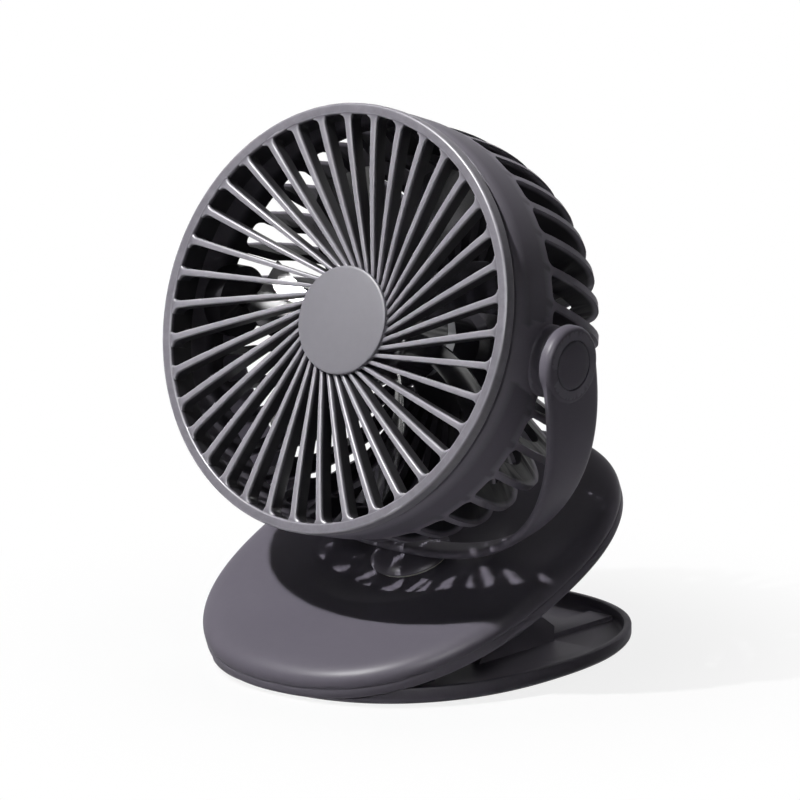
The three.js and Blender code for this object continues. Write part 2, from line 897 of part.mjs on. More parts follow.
// The yoke in the frame of its tilt axis: X along that axis, Z up its own plane.
function yoke() {
  const shares = Array.from({ length: yokeSteps + 1 }, (_, i) => i / yokeSteps);
  let body = toSolid(loft(shares.map(strapSection)));
  const boss = [
    [0, strapFace],
    [yokeBossRadius - 0.5, strapFace],
    [yokeBossRadius, strapFace + 0.5],
    [yokeBossRadius, strapBossOuter - yokeBossRound],
    [yokeBossRadius - 0.35 * yokeBossRound, strapBossOuter - 0.45 * yokeBossRound],
    [yokeBossRadius - 1.1 * yokeBossRound, strapBossOuter],
    [0, strapBossOuter],
  ];
  const openings = (turned) =>
    [
      rod(pivotScrewRadius + seatGap, strapFace - 1, strapBossOuter, "x", [0, 0, 0], 12),
      rod(pivotScrewHeadRadius + seatGap, pivotHeadSeat, strapBossOuter, "x", [0, 0, 0], 16),
      rod(capRadius + seatGap, capSeat - seatGap, strapBossOuter + 1, "x"),
    ].map((tool) => (turned ? tool.rotateZ(Math.PI) : tool));
  body = body.add(toSolid(revolve(boss, "x", 24)));
  body = body.add(toSolid(revolve(boss, "x", 24).rotateZ(Math.PI)));
  const foot = revolve(
    [
      [0, spindleEnd - footBottom],
      [spindleRadius, spindleEnd - footBottom],
      [spindleRadius, 0],
      [footRadius - 0.6, 0],
      [footRadius, 0.5],
      [footRadius - 0.8, footHeight - 1],
      [footRadius - 3.5, footHeight],
      [0, footHeight],
    ],
    "z",
    24,
  );
  const screwHole = rod(
    coverScrewRadius + screwClearance,
    spindleEnd - footBottom - 1,
    1.8,
    "z",
    [0, 0, 0],
    12,
  );
  const intoYoke = (tool) => tool.rotateX(yokeRake).translate(0, 0, -pivotHeight);
  body = body.add(toSolid(intoYoke(foot)));
  return cut(body, intoYoke(screwHole), ...openings(false), ...openings(true));
}

function pivotWasher() {
  const inner = pivotScrewRadius + 0.5;
  const face = pivotWasherFace + pivotWasherThickness;
  return toSolid(
    revolveLoop(
      [
        [inner, pivotWasherFace],
        [pivotWasherRadius, pivotWasherFace],
        [pivotWasherRadius, face],
        [inner, face],
      ],
      "x",
      24,
    ),
  );
}

function pivotScrew() {
  const seat = pivotHeadSeat + seatGap;
  const end = seat + pivotScrewHeadHeight;
  return toSolid(
    revolve(
      [
        [0, sidePostInner + 2],
        [pivotScrewRadius, sidePostInner + 3],
        [pivotScrewRadius, seat],
        [pivotScrewHeadRadius, seat],
        [pivotScrewHeadRadius, end - 0.4],
        [pivotScrewHeadRadius - 0.6, end],
        [0, end],
      ],
      "x",
      16,
    ),
  );
}

function pivotCap() {
  return toSolid(
    revolve(
      [
        [0, capSeat],
        [capRadius, capSeat],
        [capRadius, capSeat + capThickness - 0.4],
        [capRadius - 0.5, capSeat + capThickness - 0.1],
        [capRadius - 3, capSeat + capThickness + 0.15],
        [0, capSeat + capThickness + 0.25],
      ],
      "x",
      24,
    ),
  );
}

// ---------------------------------------------------------------- front grille

// One rib, from inside the hub to inside the ring. Seen from the front it is straight and passes
// beside the centre, and on its way in its face sinks from the ring's face to the hub's.
function grilleRib(index) {
  const stations = [
    hubRadius - 0.7,
    ...[0.12, 0.28, 0.52, 0.8].map((share) => hubRadius + share * (ringInner - hubRadius)),
    ringInner - ribFlareLength,
    ringInner + 0.9,
  ];
  const middleLine = (radius) => {
    const inward = Math.max((ringInner - radius) / (ringInner - hubRadius), 0);
    const sweep = Math.asin(ribOffset / radius) - Math.asin(ribOffset / ringInner);
    const turn = (2 * Math.PI * index) / ribCount + sweep;
    return {
      place: new THREE.Vector2(Math.sin(turn), Math.cos(turn)).multiplyScalar(radius),
      face: 0.9 + (hubFaceDepth - 0.9) * inward ** 1.5,
    };
  };
  const sections = stations.map((radius) => {
    const { place, face } = middleLine(radius);
    const along = middleLine(radius + 0.1).place.sub(middleLine(radius - 0.1).place).normalize();
    const toRing = Math.max(0, 1 - Math.max(ringInner - radius, 0) / ribFlareLength);
    const taper = (radius - hubRadius) / (ringInner - hubRadius);
    const width = ribHubWidth + (ribWidth - ribHubWidth) * taper + ribFlare * toRing ** 2;
    const corner = (side, depth) =>
      new THREE.Vector3(place.x + side * along.y, depth, place.y - side * along.x);
    return [
      corner(-width / 2, face + ribCrown),
      corner(0, face),
      corner(width / 2, face + ribCrown),
      corner(width * 0.4, face + ribDepth),
      corner(-width * 0.4, face + ribDepth),
    ];
  });
  return loft(sections);
}

function frontGrille() {
  const ring = revolveLoop(
    [
      [ringInner, 1.3],
      [ringInner + 0.7, 0.2],
      [ringInner + 1.6, 0],
      [ringRadius - 0.9, 0.3],
      [ringRadius, 1.7],
      [ringRadius, ringBead - 0.6],
      [ringRadius - 0.7, ringBead],
      [spigotRadius, ringBead],
      [spigotRadius, spigotDepth],
      [ringInner, spigotDepth],
    ],
    "y",
    50,
  );
  const hub = revolve(
    [
      [0, hubFaceDepth],
      [hubRadius - 0.5, hubFaceDepth],
      [hubRadius, hubFaceDepth + 0.5],
      [hubRadius, hubFaceDepth + hubLength],
      [hubRadius - hubWall, hubFaceDepth + hubLength],
      [hubRadius - hubWall, hubFaceDepth + 2],
      [0, hubFaceDepth + 2],
    ],
    "y",
    38,
  );
  const ribs = Array.from({ length: ribCount }, (_, i) => toSolid(grilleRib(i)));
  const web = ribs.reduce((a, b) => a.add(b));
  return web.add(toSolid(ring)).add(toSolid(hub));
}

function grilleDisc() {
  const back = hubFaceDepth - seatGap;
  return toSolid(
    revolve(
      [
        [0, back - discThickness],
        [discRadius - 0.6, back - discThickness],
        [discRadius, back - discThickness + 0.4],
        [discRadius, back],
        [0, back],
      ],
      "y",
    ),
  );
}

// ---------------------------------------------------------------- rear housing

// The bowl's section from the end of the band to the flat rear face, a quarter superellipse.
function bowl(startRadius, startDepth, endDepth, steps) {
  return Array.from({ length: steps + 1 }, (_, i) => {
    const turn = (i / steps) * (Math.PI / 2);
    const radius = bowlFlatRadius + (startRadius - bowlFlatRadius) * Math.cos(turn) ** (2 / bowlPower);
    const depth = startDepth + (endDepth - startDepth) * Math.sin(turn) ** (2 / bowlPower);
    return [radius, depth];
  });
}

// The outline of one of the bowl's ribs, in radius and depth: from the band round to the rear disc.
function ventRibShape() {
  const innerFace = housingDepth - ventRibRearDepth;
  const innerStart = bandEndRadius - ventRibRadialDepth;
  const shape = new THREE.Shape();
  shape.moveTo(bandEndRadius - bandWall, ventFront - 3);
  shape.lineTo(bandEndRadius - 0.05, ventFront - 0.5);
  for (const point of bowl(bandEndRadius, bandEnd, housingDepth, 5)) shape.lineTo(...point);
  shape.lineTo(ventInnerRadius - 1, housingDepth);
  shape.lineTo(ventInnerRadius - 1, innerFace);
  for (const point of bowl(innerStart, bandEnd + 1.5, innerFace, 3).reverse()) {
    shape.lineTo(...point);
  }
  shape.closePath();
  return shape;
}

function rearHousing() {
  const socketRadius = spigotRadius + seatGap;
  const innerFace = housingDepth - rearFaceThickness;
  const capSocket = rearCapRadius + seatGap;
  const band = revolveLoop(
    [
      [socketRadius, bandFront],
      [bandRadius - 0.6, bandFront],
      [bandRadius, bandFront + 0.6],
      [bandRadius - 0.1, ventFront - 9],
      [bandEndRadius + 0.1, ventFront],
      [bandEndRadius - bandWall - 1.6, ventFront],
      [bandRadius - bandWall - 0.4, ventFront - 4],
      [bandRadius - bandWall, spigotDepth + seatGap],
      [socketRadius, spigotDepth + seatGap],
    ],
    "y",
    52,
  );
  const disc = revolve(
    [
      [0, towerFront],
      [towerRadius, towerFront],
      [towerRadius, innerFace - 2.5],
      [towerRadius + 2, innerFace],
      [ventInnerRadius, innerFace],
      [ventInnerRadius, housingDepth],
      [capSocket, housingDepth],
      [capSocket, housingDepth - rearCapThickness],
      [towerBore, housingDepth - rearCapThickness],
      [towerBore, towerFront + towerSeat],
      [0, towerFront + towerSeat],
    ],
    "y",
    36,
  );
  let shell = toSolid(band).add(toSolid(disc));
  const rib = new THREE.ExtrudeGeometry(ventRibShape(), {
    depth: ventRibWidth,
    bevelEnabled: false,
  }).translate(0, 0, -ventRibWidth / 2);
  for (let i = 0; i < ventCount; i++) {
    const turn = (2 * Math.PI * (i + 0.5)) / ventCount;
    shell = shell.add(toSolid(rib.clone().rotateY(turn)));
  }
  // Behind each side boss the vent is closed down to the boss's edge.
  const halfPitch = bandEndRadius * Math.sin(Math.PI / ventCount);
  for (const side of [-1, 1]) {
    const wall = block(
      side > 0 ? [bandEndRadius - bandWall, bandEndRadius - 0.4] : [0.4 - bandEndRadius, bandWall - bandEndRadius],
      [ventFront - 0.5, bossVentFront],
      [-halfPitch, halfPitch],
    );
    shell = shell.add(toSolid(wall));
  }
  for (const turn of [0, Math.PI]) {
    const boss = revolve(
      [
        [0, bandEndRadius - ventRibRadialDepth + 1],
        [sideBossRadius, bandEndRadius - ventRibRadialDepth + 1],
        [sideBossRadius, sideBossFace - 0.8],
        [sideBossRadius - 0.8, sideBossFace],
        [0, sideBossFace],
      ],
      "x",
      24,
    );
    const post = rod(sidePostRadius, sidePostInner, bandEndRadius, "x", [0, 0, 0], 16);
    const bore = rod(pivotScrewRadius + seatGap, sidePostInner - 1, sideBossFace + 1, "x");
    const place = (tool) => toSolid(tool.rotateZ(turn).translate(0, tiltAxisDepth, 0));
    shell = shell.add(place(boss)).add(place(post)).subtract(place(bore));
  }
  const screwHoles = [-motorScrewOffset, motorScrewOffset].map((x) =>
    rod(1.2, towerFront - 1, towerFront + towerSeat + 1, "y", [x, 0, 0], 12),
  );
  return cut(shell, ...screwHoles);
}

function rearCap() {
  const seat = housingDepth - rearCapThickness + seatGap;
  return toSolid(
    revolve(
      [
        [0, seat - 3],
        [towerBore - seatGap, seat - 3],
        [towerBore - seatGap, seat],
        [rearCapRadius, seat],
        [rearCapRadius, housingDepth],
        [rearCapRadius - 1, housingDepth + 0.6],
        [0, housingDepth + 0.6],
      ],
      "y",
      24,
    ),
  );
}

// ---------------------------------------------------------------- motor and rotor

function motorCan() {
  const back = towerFront - seatGap;
  const bore = shaftRadius + seatGap;
  const can = revolve(
    [
      [0, back - 5],
      [bore, back - 5],
      [bore, motorFront - motorNose],
      [3, motorFront - motorNose],
      [3, motorFront],
      [motorRadius - 0.8, motorFront],
      [motorRadius, motorFront + 0.8],
      [motorRadius, back - 0.8],
      [motorRadius - 0.8, back],
      [0, back],
    ],
    "y",
    24,
  );
  const holes = [-motorScrewOffset, motorScrewOffset].map((x) =>
    rod(1.2, back - 4, back + 1, "y", [x, 0, 0], 12),
  );
  return cut(toSolid(can), ...holes);
}

function motorScrew(x) {
  const seat = towerFront + towerSeat + seatGap;
  return toSolid(
    revolve(
      [
        [0, towerFront - 3.4],
        [0.9, towerFront - 3],
        [0.9, seat],
        [1.8, seat],
        [1.8, seat + 1.1],
        [0, seat + 1.1],
      ],
      "y",
      12,
    ).translate(x, 0, 0),
  );
}

const rotorBore = rotorFront + 2.2;

function motorShaft() {
  return toSolid(rod(shaftRadius, rotorBore + seatGap, towerFront - 6, "y", [0, 0, 0], 16));
}

// One blade: curved sections round the shaft, steeper and shorter at the root than at the tip.
function rotorBlade(index) {
  const spans = 5;
  const sections = Array.from({ length: spans + 1 }, (_, row) => {
    const share = row / spans;
    const radius = rotorHubRadius - 0.8 + share * (bladeTipRadius - rotorHubRadius + 0.8);
    const chord = 15 + 17 * Math.sin(share * Math.PI * 0.5) - 5 * share ** 6;
    const pitch = (50 - 26 * share) * degree;
    const lead = (2 * Math.PI * index) / bladeCount + 0.35 * share ** 1.4;
    const thickness = bladeThickness * (1.25 - 0.55 * share);
    const point = (along, side) => {
      const sag = 0.09 * chord * (1 - (2 * along) ** 2);
      const round = along * chord * Math.cos(pitch) - (sag + side) * Math.sin(pitch);
      const depth = bladeMiddle + along * chord * Math.sin(pitch) + (sag + side) * Math.cos(pitch);
      const turn = lead + round / radius;
      return new THREE.Vector3(radius * Math.sin(turn), depth, radius * Math.cos(turn));
    };
    const half = thickness / 2;
    return [
      point(-0.5, 0),
      point(-0.2, half),
      point(0.15, half),
      point(0.5, 0),
      point(0.15, -half),
      point(-0.2, -half),
    ];
  });
  return loft(sections);
}

function fanRotor() {
  const inner = rotorHubRadius - rotorHubWall;
  const bore = shaftRadius + seatGap;
  const bossEnd = motorFront - motorNose - 0.5;
  const hub = revolve(
    [
      [0, rotorFront],
      [rotorHubRadius - 4, rotorFront + 0.2],
      [rotorHubRadius - 1.2, rotorFront + 1.4],
      [rotorHubRadius, rotorFront + 4],
      [rotorHubRadius, rotorBack],
      [inner, rotorBack],
      [inner, rotorFront + 3.6],
      [3.2, rotorFront + 3],
      [3.2, bossEnd],
      [bore, bossEnd],
      [bore, rotorBore],
      [0, rotorBore],
    ],
    "y",
    42,
  );
  const blades = Array.from({ length: bladeCount }, (_, i) => toSolid(rotorBlade(i)));
  const inside = rod(inner, rotorFront + 4, rotorBack + 1, "y", [0, 0, 0], 42);
  const fan = blades.reduce((a, b) => a.add(b)).subtract(toSolid(inside));
  return fan.add(toSolid(hub));
}

// ---------------------------------------------------------------- assembly

const clipFan = new THREE.Group();

function addPiece(parent, name, solid, material) {
  const mesh = new THREE.Mesh(toGeometry(solid), material);
  mesh.name = name;
  parent.add(mesh);
  return mesh;
}

function addGroup(parent, position, turnX) {
  const group = new THREE.Group();
  group.position.set(...position);
  group.rotation.x = turnX;
  parent.add(group);
  return group;
}

const base = addGroup(clipFan, [0, baseY, baseZ], baseTilt);
const swivel = addGroup(base, [0, swivelL, 0], 0);
const yokeFrame = addGroup(swivel, [0, 0, footBottom], -yokeRake);
const tiltFrame = addGroup(yokeFrame, [0, 0, pivotHeight], 0);
const head = addGroup(tiltFrame, [0, 0, 0], -headTilt);
const fan = addGroup(head, [0, -tiltAxisDepth, 0], 0);

addPiece(clipFan, "lower_jaw", lowerJaw(), shellPlastic);
addPiece(clipFan, "lower_grip_pad", lowerGripPad(), darkRubber);
addPiece(clipFan, "hinge_pin", hingePin(), steel);
addPiece(clipFan, "torsion_spring", torsionSpring(), steel);

addPiece(base, "base_top_shell", baseTopShell(), shellPlastic);
addPiece(base, "base_bottom_cover", baseBottomCover(), shellPlastic);
addPiece(base, "upper_grip_pad", upperGripPad(), darkRubber);
addPiece(base, "battery_cell", batteryCell(), cellWrap);
addPiece(base, "circuit_board", circuitBoard(), boardGreen);
addPiece(base, "tact_switch", tactSwitch(), steel);
addPiece(base, "charging_port", chargingPort(), steel);
addPiece(base, "power_button", powerButton(), shellPlastic);
addPiece(base, "indicator_light_pipe", indicatorLightPipe(), lens);
coverScrews.forEach(([x, y], i) => {
  addPiece(base, `cover_screw_${i + 1}`, coverScrew(), steel).position.set(x, y, 0);
});

addPiece(swivel, "swivel_washer", swivelWasher(), nylon);
addPiece(swivel, "swivel_retainer", swivelRetainer(), steel);
addPiece(swivel, "swivel_screw", swivelScrew(), steel);

addPiece(tiltFrame, "yoke", yoke(), shellPlastic);
for (const [side, turn] of [
  ["right", 0],
  ["left", Math.PI],
]) {
  const mount = new THREE.Group();
  mount.rotation.z = turn;
  tiltFrame.add(mount);
  addPiece(mount, `pivot_washer_${side}`, pivotWasher(), nylon);
  addPiece(mount, `pivot_screw_${side}`, pivotScrew(), steel);
  addPiece(mount, `pivot_cap_${side}`, pivotCap(), shellPlastic);
}

addPiece(fan, "rear_housing", rearHousing(), shellPlastic);
addPiece(fan, "rear_cap", rearCap(), shellPlastic);
addPiece(fan, "front_grille", frontGrille(), grillePlastic);
addPiece(fan, "grille_disc", grilleDisc(), discPlastic);
addPiece(fan, "motor_can", motorCan(), steel);
addPiece(fan, "motor_shaft", motorShaft(), steel);
addPiece(fan, "fan_rotor", fanRotor(), rotorPlastic);
addPiece(fan, "motor_screw_1", motorScrew(-motorScrewOffset), steel);
addPiece(fan, "motor_screw_2", motorScrew(motorScrewOffset), steel);

export default clipFan;
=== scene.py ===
from math import pi, sin, cos, tan, asin, radians, copysign

import bpy
import bmesh
from mathutils import Matrix, Vector


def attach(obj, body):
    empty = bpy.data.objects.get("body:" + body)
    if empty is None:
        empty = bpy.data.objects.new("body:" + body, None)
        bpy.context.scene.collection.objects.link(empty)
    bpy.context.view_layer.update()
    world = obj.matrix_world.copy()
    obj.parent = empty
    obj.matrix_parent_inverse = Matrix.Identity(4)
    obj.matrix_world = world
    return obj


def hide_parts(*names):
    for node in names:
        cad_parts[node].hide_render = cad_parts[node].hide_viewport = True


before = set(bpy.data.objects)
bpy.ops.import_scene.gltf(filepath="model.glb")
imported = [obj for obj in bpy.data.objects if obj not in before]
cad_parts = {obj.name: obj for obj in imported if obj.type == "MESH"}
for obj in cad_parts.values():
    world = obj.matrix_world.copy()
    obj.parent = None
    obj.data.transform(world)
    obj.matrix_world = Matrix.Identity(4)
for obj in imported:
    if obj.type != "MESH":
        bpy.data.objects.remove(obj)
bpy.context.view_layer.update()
scene = bpy.context.scene
mm = 0.001

# Where the moving groups stand at rest, in millimetres.
placing = {
    "baseY": -1.7, "baseZ": 25.1, "baseTilt": radians(21.7),
    "footHeight": 5.5,  # of the yoke's foot over the base's parting plane
    "yokeRake": radians(11.7), "pivotHeight": 70.46,
    "headTilt": radians(28), "tiltAxisDepth": 24.5,
}


def shiftBy(x, y, z):
    return Matrix.Translation((x, y, z))


def turnBy(angle, axis):
    return Matrix.Rotation(angle, 4, axis)


basePlace = shiftBy(0, placing["baseY"], placing["baseZ"]) @ turnBy(placing["baseTilt"], "X")
yokePlace = (basePlace @ shiftBy(0, 0, placing["footHeight"]) @ turnBy(-placing["yokeRake"], "X")
             @ shiftBy(0, 0, placing["pivotHeight"]))
fanPlace = yokePlace @ turnBy(-placing["headTilt"], "X") @ shiftBy(0, -placing["tiltAxisDepth"], 0)
groundPlace = Matrix.Identity(4)

# The materials of the grille and the housing read these sizes too, for their painted shade.
grille = {
    "ribs": 38, "offset": 9.1,  # the ribs' middle lines pass the axis at this distance
    "ribWidth": 2.1, "ribHubWidth": 1.15, "ribDepth": 5.4, "ribFace": 0.2, "ribBow": 1.5,
    "ribRoot": 0.7, "ribTip": 0.9,  # how far a rib runs into the hub and the ring
    "ribStations": 34, "ribCrowding": 1.7, "flare": 3.2, "flareLength": 2.2,
    "ringInner": 59.3, "ringRadius": 62.5, "ringFace": 0.05, "ringBead": 4.1, "ringSegments": 216,
    "spigotRadius": 60.3, "spigotDepth": 10,
    "hubRadius": 15.5, "hubFace": 5.4, "hubWall": 1.6, "hubLength": 7, "hubFloor": 2, "hubSegments": 152,
    "discRadius": 15.8, "discThickness": 0.9, "seat": 0.3,
    "shadeFrom": 0.3, "shadeTo": 1.7,  # depths under the ribs' faces where the painted shade begins and is full
    "rimFrom": 0.1, "rimTo": 0.4,  # inside the ring's outer radius, where the painted shade fades out at the rim
}

housing = {
    "bandRadius": 62.06, "bandFront": 5.5, "bandEnd": 26, "bandEndRadius": 61, "bandWall": 2.3, "wallEnd": 17,
    "flatRadius": 36, "depth": 63.5, "power": 2.5, "faceThickness": 2.6,
    "vents": 36, "ventFront": 24, "ventRound": 2.6, "ventInner": 20, "ventOuter": 66, "ventBack": 75,
    "ventSteps": 12, "ribWidth": 2.1, "ribRadial": 8.5, "ribStart": 6, "ribRear": 7, "ribSweep": radians(7),
    "bossVentFront": 36, "guardInner": 48, "guardOuter": 70, "guardHalf": 6,
    "towerRadius": 8.8, "towerBore": 6.5, "towerFront": 44.6, "towerSeat": 2.4,
    "capSocket": 9.3, "capRadius": 9, "capDepth": 1.3, "capPlug": 3, "capGap": 0.3,
    "bossRadius": 9.6, "bossFace": 65.2, "bossFillet": (61.3, 62, 62.7),
    "postRadius": 4.5, "postInner": 54, "bore": 1.8, "motorScrew": 3.8, "motorScrewHole": 1.2,
    "segments": 216, "bowlSteps": 22, "ribSteps": 14, "bossSegments": 80, "capSegments": 96,
    "shadeFrom": 0.95, "shadeTo": 0.83,  # where the painted shade begins and is full, on the curve that the outer face follows, where 1 is the face
}


def plug(tree, value, slot):
    if isinstance(value, Wire):
        tree.links.new(value.socket, slot)
    else:
        slot.default_value = value


class Wire:
    def __init__(self, tree, socket):
        self.tree, self.socket = tree, socket

    def calc(self, operation, other):
        node = self.tree.nodes.new("ShaderNodeMath")
        node.operation = operation
        for slot, value in zip(node.inputs, (self, other)):
            plug(self.tree, value, slot)
        return Wire(self.tree, node.outputs[0])

    def __add__(self, other):
        return self.calc("ADD", other)

    __radd__ = __add__

    def __sub__(self, other):
        return self.calc("SUBTRACT", other)

    def __mul__(self, other):
        return self.calc("MULTIPLY", other)

    def __pow__(self, other):
        return self.calc("POWER", other)


class Shader:
    def __init__(self, name, owners=bpy.data.materials, output="ShaderNodeOutputMaterial"):
        self.owner = owners.new(name)
        self.owner.use_nodes = True
        self.tree = self.owner.node_tree
        self.tree.nodes.clear()
        self.output = self.tree.nodes.new(output)

    def node(self, kind, settings=None, outlet=0, **values):
        node = self.tree.nodes.new(kind)
        for key, value in (settings or {}).items():
            setattr(node, key, value)
        for key, value in values.items():
            slot = next(s for s in node.inputs if s.name.replace(" ", "") == key and s.enabled)
            plug(self.tree, value, slot)
        return Wire(self.tree, node.outputs[outlet])

    def place(self):
        return self.node("ShaderNodeTexCoord", outlet="Object")

    def rays(self):  # whether a ray comes from the camera, off a mirror or through glass
        outputs = self.tree.nodes.new("ShaderNodeLightPath").outputs
        return [Wire(self.tree, outputs["Is %s Ray" % kind]) for kind in ("Camera", "Glossy", "Transmission")]

    def noise(self, place, scale, detail=2, roughness=0.5):
        return self.node("ShaderNodeTexNoise", Vector=place, Scale=scale, Detail=detail, Roughness=roughness)

    def ranged(self, value, start, end, low=0, kind="SMOOTHSTEP", clamp=True):
        return self.node("ShaderNodeMapRange", {"interpolation_type": kind, "clamp": clamp},
                         Value=value, FromMin=start, FromMax=end, ToMin=low)

    def finish(self, surface):
        self.tree.links.new(surface.socket, self.output.inputs["Surface"])
        return self.owner


def linear(red, green, blue):  # an sRGB colour of 0 to 255 as a shader wants it
    def one(v):
        v /= 255
        return v / 12.92 if v < 0.04045 else ((v + 0.055) / 1.055) ** 2.4
    return one(red), one(green), one(blue), 1


def toned(colour, share):
    return tuple(min(1, c * share) for c in colour[:3]) + (1,)


def mixColour(shader, factor, first, second):
    node = shader.tree.nodes.new("ShaderNodeMix")
    node.data_type = "RGBA"
    for index, value in ((0, factor), (6, first), (7, second)):  # 6 and 7 are the colour sockets
        plug(shader.tree, value, node.inputs[index])
    return Wire(shader.tree, node.outputs[2])


def mixShaders(shader, factor, first, second):
    node = shader.tree.nodes.new("ShaderNodeMixShader")
    for slot, value in zip(node.inputs, (factor, first, second)):
        plug(shader.tree, value, slot)
    return Wire(shader.tree, node.outputs[0])


def headSpot(shader, place):
    # the distance from the head's axis and behind its front plane, in millimetres
    inverse = fanPlace.inverted()
    spot = shader.node("ShaderNodeMapping", Vector=place, Location=inverse.translation,
                       Rotation=inverse.to_euler(), Scale=(1 / mm, 1 / mm, 1 / mm))
    parts = shader.node("ShaderNodeSeparateXYZ", Vector=spot).socket.node.outputs
    x, depth, z = (Wire(shader.tree, parts[i]) for i in range(3))
    return (x * x + z * z) ** 0.5, depth


def grillePaintedShade(shader, place):
    # Painted shade: 0 on the faces of ring and ribs, rising to 1 a little way down their walls, but 0 on the
    # ring's rim
    g = grille
    radius, depth = headSpot(shader, place)
    inward = shader.ranged(radius, g["ringInner"], g["hubRadius"], kind="LINEAR")
    below = depth - inward ** g["ribBow"] * (g["hubFace"] - g["ribFace"]) - g["ribFace"]
    rim = shader.ranged(radius, g["ringRadius"] - g["rimFrom"], g["ringRadius"] - g["rimTo"], kind="LINEAR")
    return shader.ranged(below, g["shadeFrom"], g["shadeTo"]) * rim


def housingPaintedShade(shader, place):
    # Painted shade: 0 on the outer face of band and cage, rising to 1 about two millimetres under it
    h = housing
    radius, depth = headSpot(shader, place)
    out = shader.ranged(radius, h["flatRadius"], h["bandEndRadius"], kind="LINEAR", clamp=False)
    back = shader.ranged(depth, h["bandEnd"], h["depth"], kind="LINEAR", clamp=False)
    share = out.calc("MAXIMUM", 0) ** h["power"] + back.calc("MAXIMUM", 0) ** h["power"]
    return shader.ranged(share, h["shadeFrom"], h["shadeTo"])


plasticLook = {
    "cloudScale": 38, "mottleScale": 420, "dark": 0.86, "pale": 1.14,
    "ragged": 0.012,  # how uneven the lightened edges are, rubbed wear and painted edge highlight
    # shade and shadeTone: the strength and the dark tone of the painted shade
    "shade": 0.94, "shadeTone": 0.1, "glossCloud": 0.16, "glossMottle": 0.1, "bump": 0.55,
}


def mouldedPlastic(name, colour, wornAndSheen=None, roughness=0.5, grain=2300, grainDepth=0.00005, specular=0.5,
                   wearAndSheen=0.5, wearSheenFrom=0.525, wearSheenTo=0.6, index=1.5, shade=None):
    # Spark-eroded plastic: a fine grain, slow cloudy colour and gloss, edges lightened towards a paler colour
    # as rubbed wear and painted edge highlight, and, where shade is given, a painted shade in the hollows.
    look = plasticLook
    shader = Shader(name)
    place = shader.place()
    colour = linear(*colour)
    cloud = shader.noise(place, look["cloudScale"], detail=4, roughness=0.6)
    mottle = shader.noise(place, look["mottleScale"], detail=3, roughness=0.6)
    fine = shader.noise(place, grain)
    body = mixColour(shader, cloud * 0.55 + mottle * 0.25 + fine * 0.2,
                     toned(colour, look["dark"]), toned(colour, look["pale"]))
    if wornAndSheen:
        point = shader.node("ShaderNodeNewGeometry", outlet="Pointiness")
        # lighter edges: rubbed wear, and on the grille a painted edge highlight
        rubbedAndSheen = shader.ranged(point + mottle * look["ragged"], wearSheenFrom, wearSheenTo, kind="LINEAR")
        body = mixColour(shader, rubbedAndSheen * wearAndSheen, body, linear(*wornAndSheen))
    if shade:
        # painted shade: a darker tone where the mask says the surface lies in a hollow
        body = mixColour(shader, shade(shader, place) * look["shade"], body, toned(colour, look["shadeTone"]))
    gloss = roughness + (cloud - 0.5) * look["glossCloud"] + (mottle - 0.5) * look["glossMottle"]
    bump = shader.node("ShaderNodeBump", Strength=look["bump"], Distance=grainDepth,
                       Height=fine * 0.75 + mottle * 0.25)
    surface = shader.node("ShaderNodeBsdfPrincipled", BaseColor=body, Roughness=gloss, Normal=bump,
                          SpecularIORLevel=specular, IOR=index)
    return shader.finish(surface)


def metalFinish(name, colour, roughness):
    shader = Shader(name)
    place = shader.place()
    colour = linear(*colour)
    cloud = shader.noise(place, scale=260, detail=4)
    fine = shader.noise(place, scale=2600)
    body = mixColour(shader, cloud, toned(colour, 0.78), colour)
    bump = shader.node("ShaderNodeBump", Strength=0.3, Distance=0.00002, Height=fine)
    surface = shader.node("ShaderNodeBsdfPrincipled", BaseColor=body, Metallic=1.0,
                          Roughness=roughness + (fine - 0.5) * 0.08, Normal=bump)
    return shader.finish(surface)


def clearLens():
    shader = Shader("lightPipeClear")
    cloud = shader.noise(shader.place(), scale=500, detail=3)
    body = mixColour(shader, cloud, linear(214, 218, 220), linear(236, 239, 240))
    surface = shader.node("ShaderNodeBsdfPrincipled", BaseColor=body, Roughness=0.12 + cloud * 0.12,
                          CoatWeight=0.3)
    return shader.finish(surface)


def rubbedRubber():
    shader = Shader("gripRubber")
    place = shader.place()
    cloud = shader.noise(place, scale=120, detail=4)
    fine = shader.node("ShaderNodeTexVoronoi", Vector=place, Scale=1500)
    body = mixColour(shader, cloud * 0.7 + fine * 0.3, linear(34, 33, 37), linear(54, 52, 57))
    bump = shader.node("ShaderNodeBump", Strength=0.4, Distance=0.00006, Height=fine)
    surface = shader.node("ShaderNodeBsdfPrincipled", BaseColor=body, Roughness=0.78 + cloud * 0.14,
                          Normal=bump, SpecularIORLevel=0.3)
    return shader.finish(surface)


# Colours are sRGB from 0 to 255; the grain is a noise scale and its depth is in metres.
shellPlastic = mouldedPlastic("shellPlastic", (101, 97, 107), (140, 136, 146), roughness=0.42, specular=0.027)
# The housing's plastic carries painted shade inside band and cage.
headPlastic = mouldedPlastic(
    "headPlastic", (106, 102, 112), (150, 146, 156), roughness=0.42, specular=0.03, shade=housingPaintedShade)
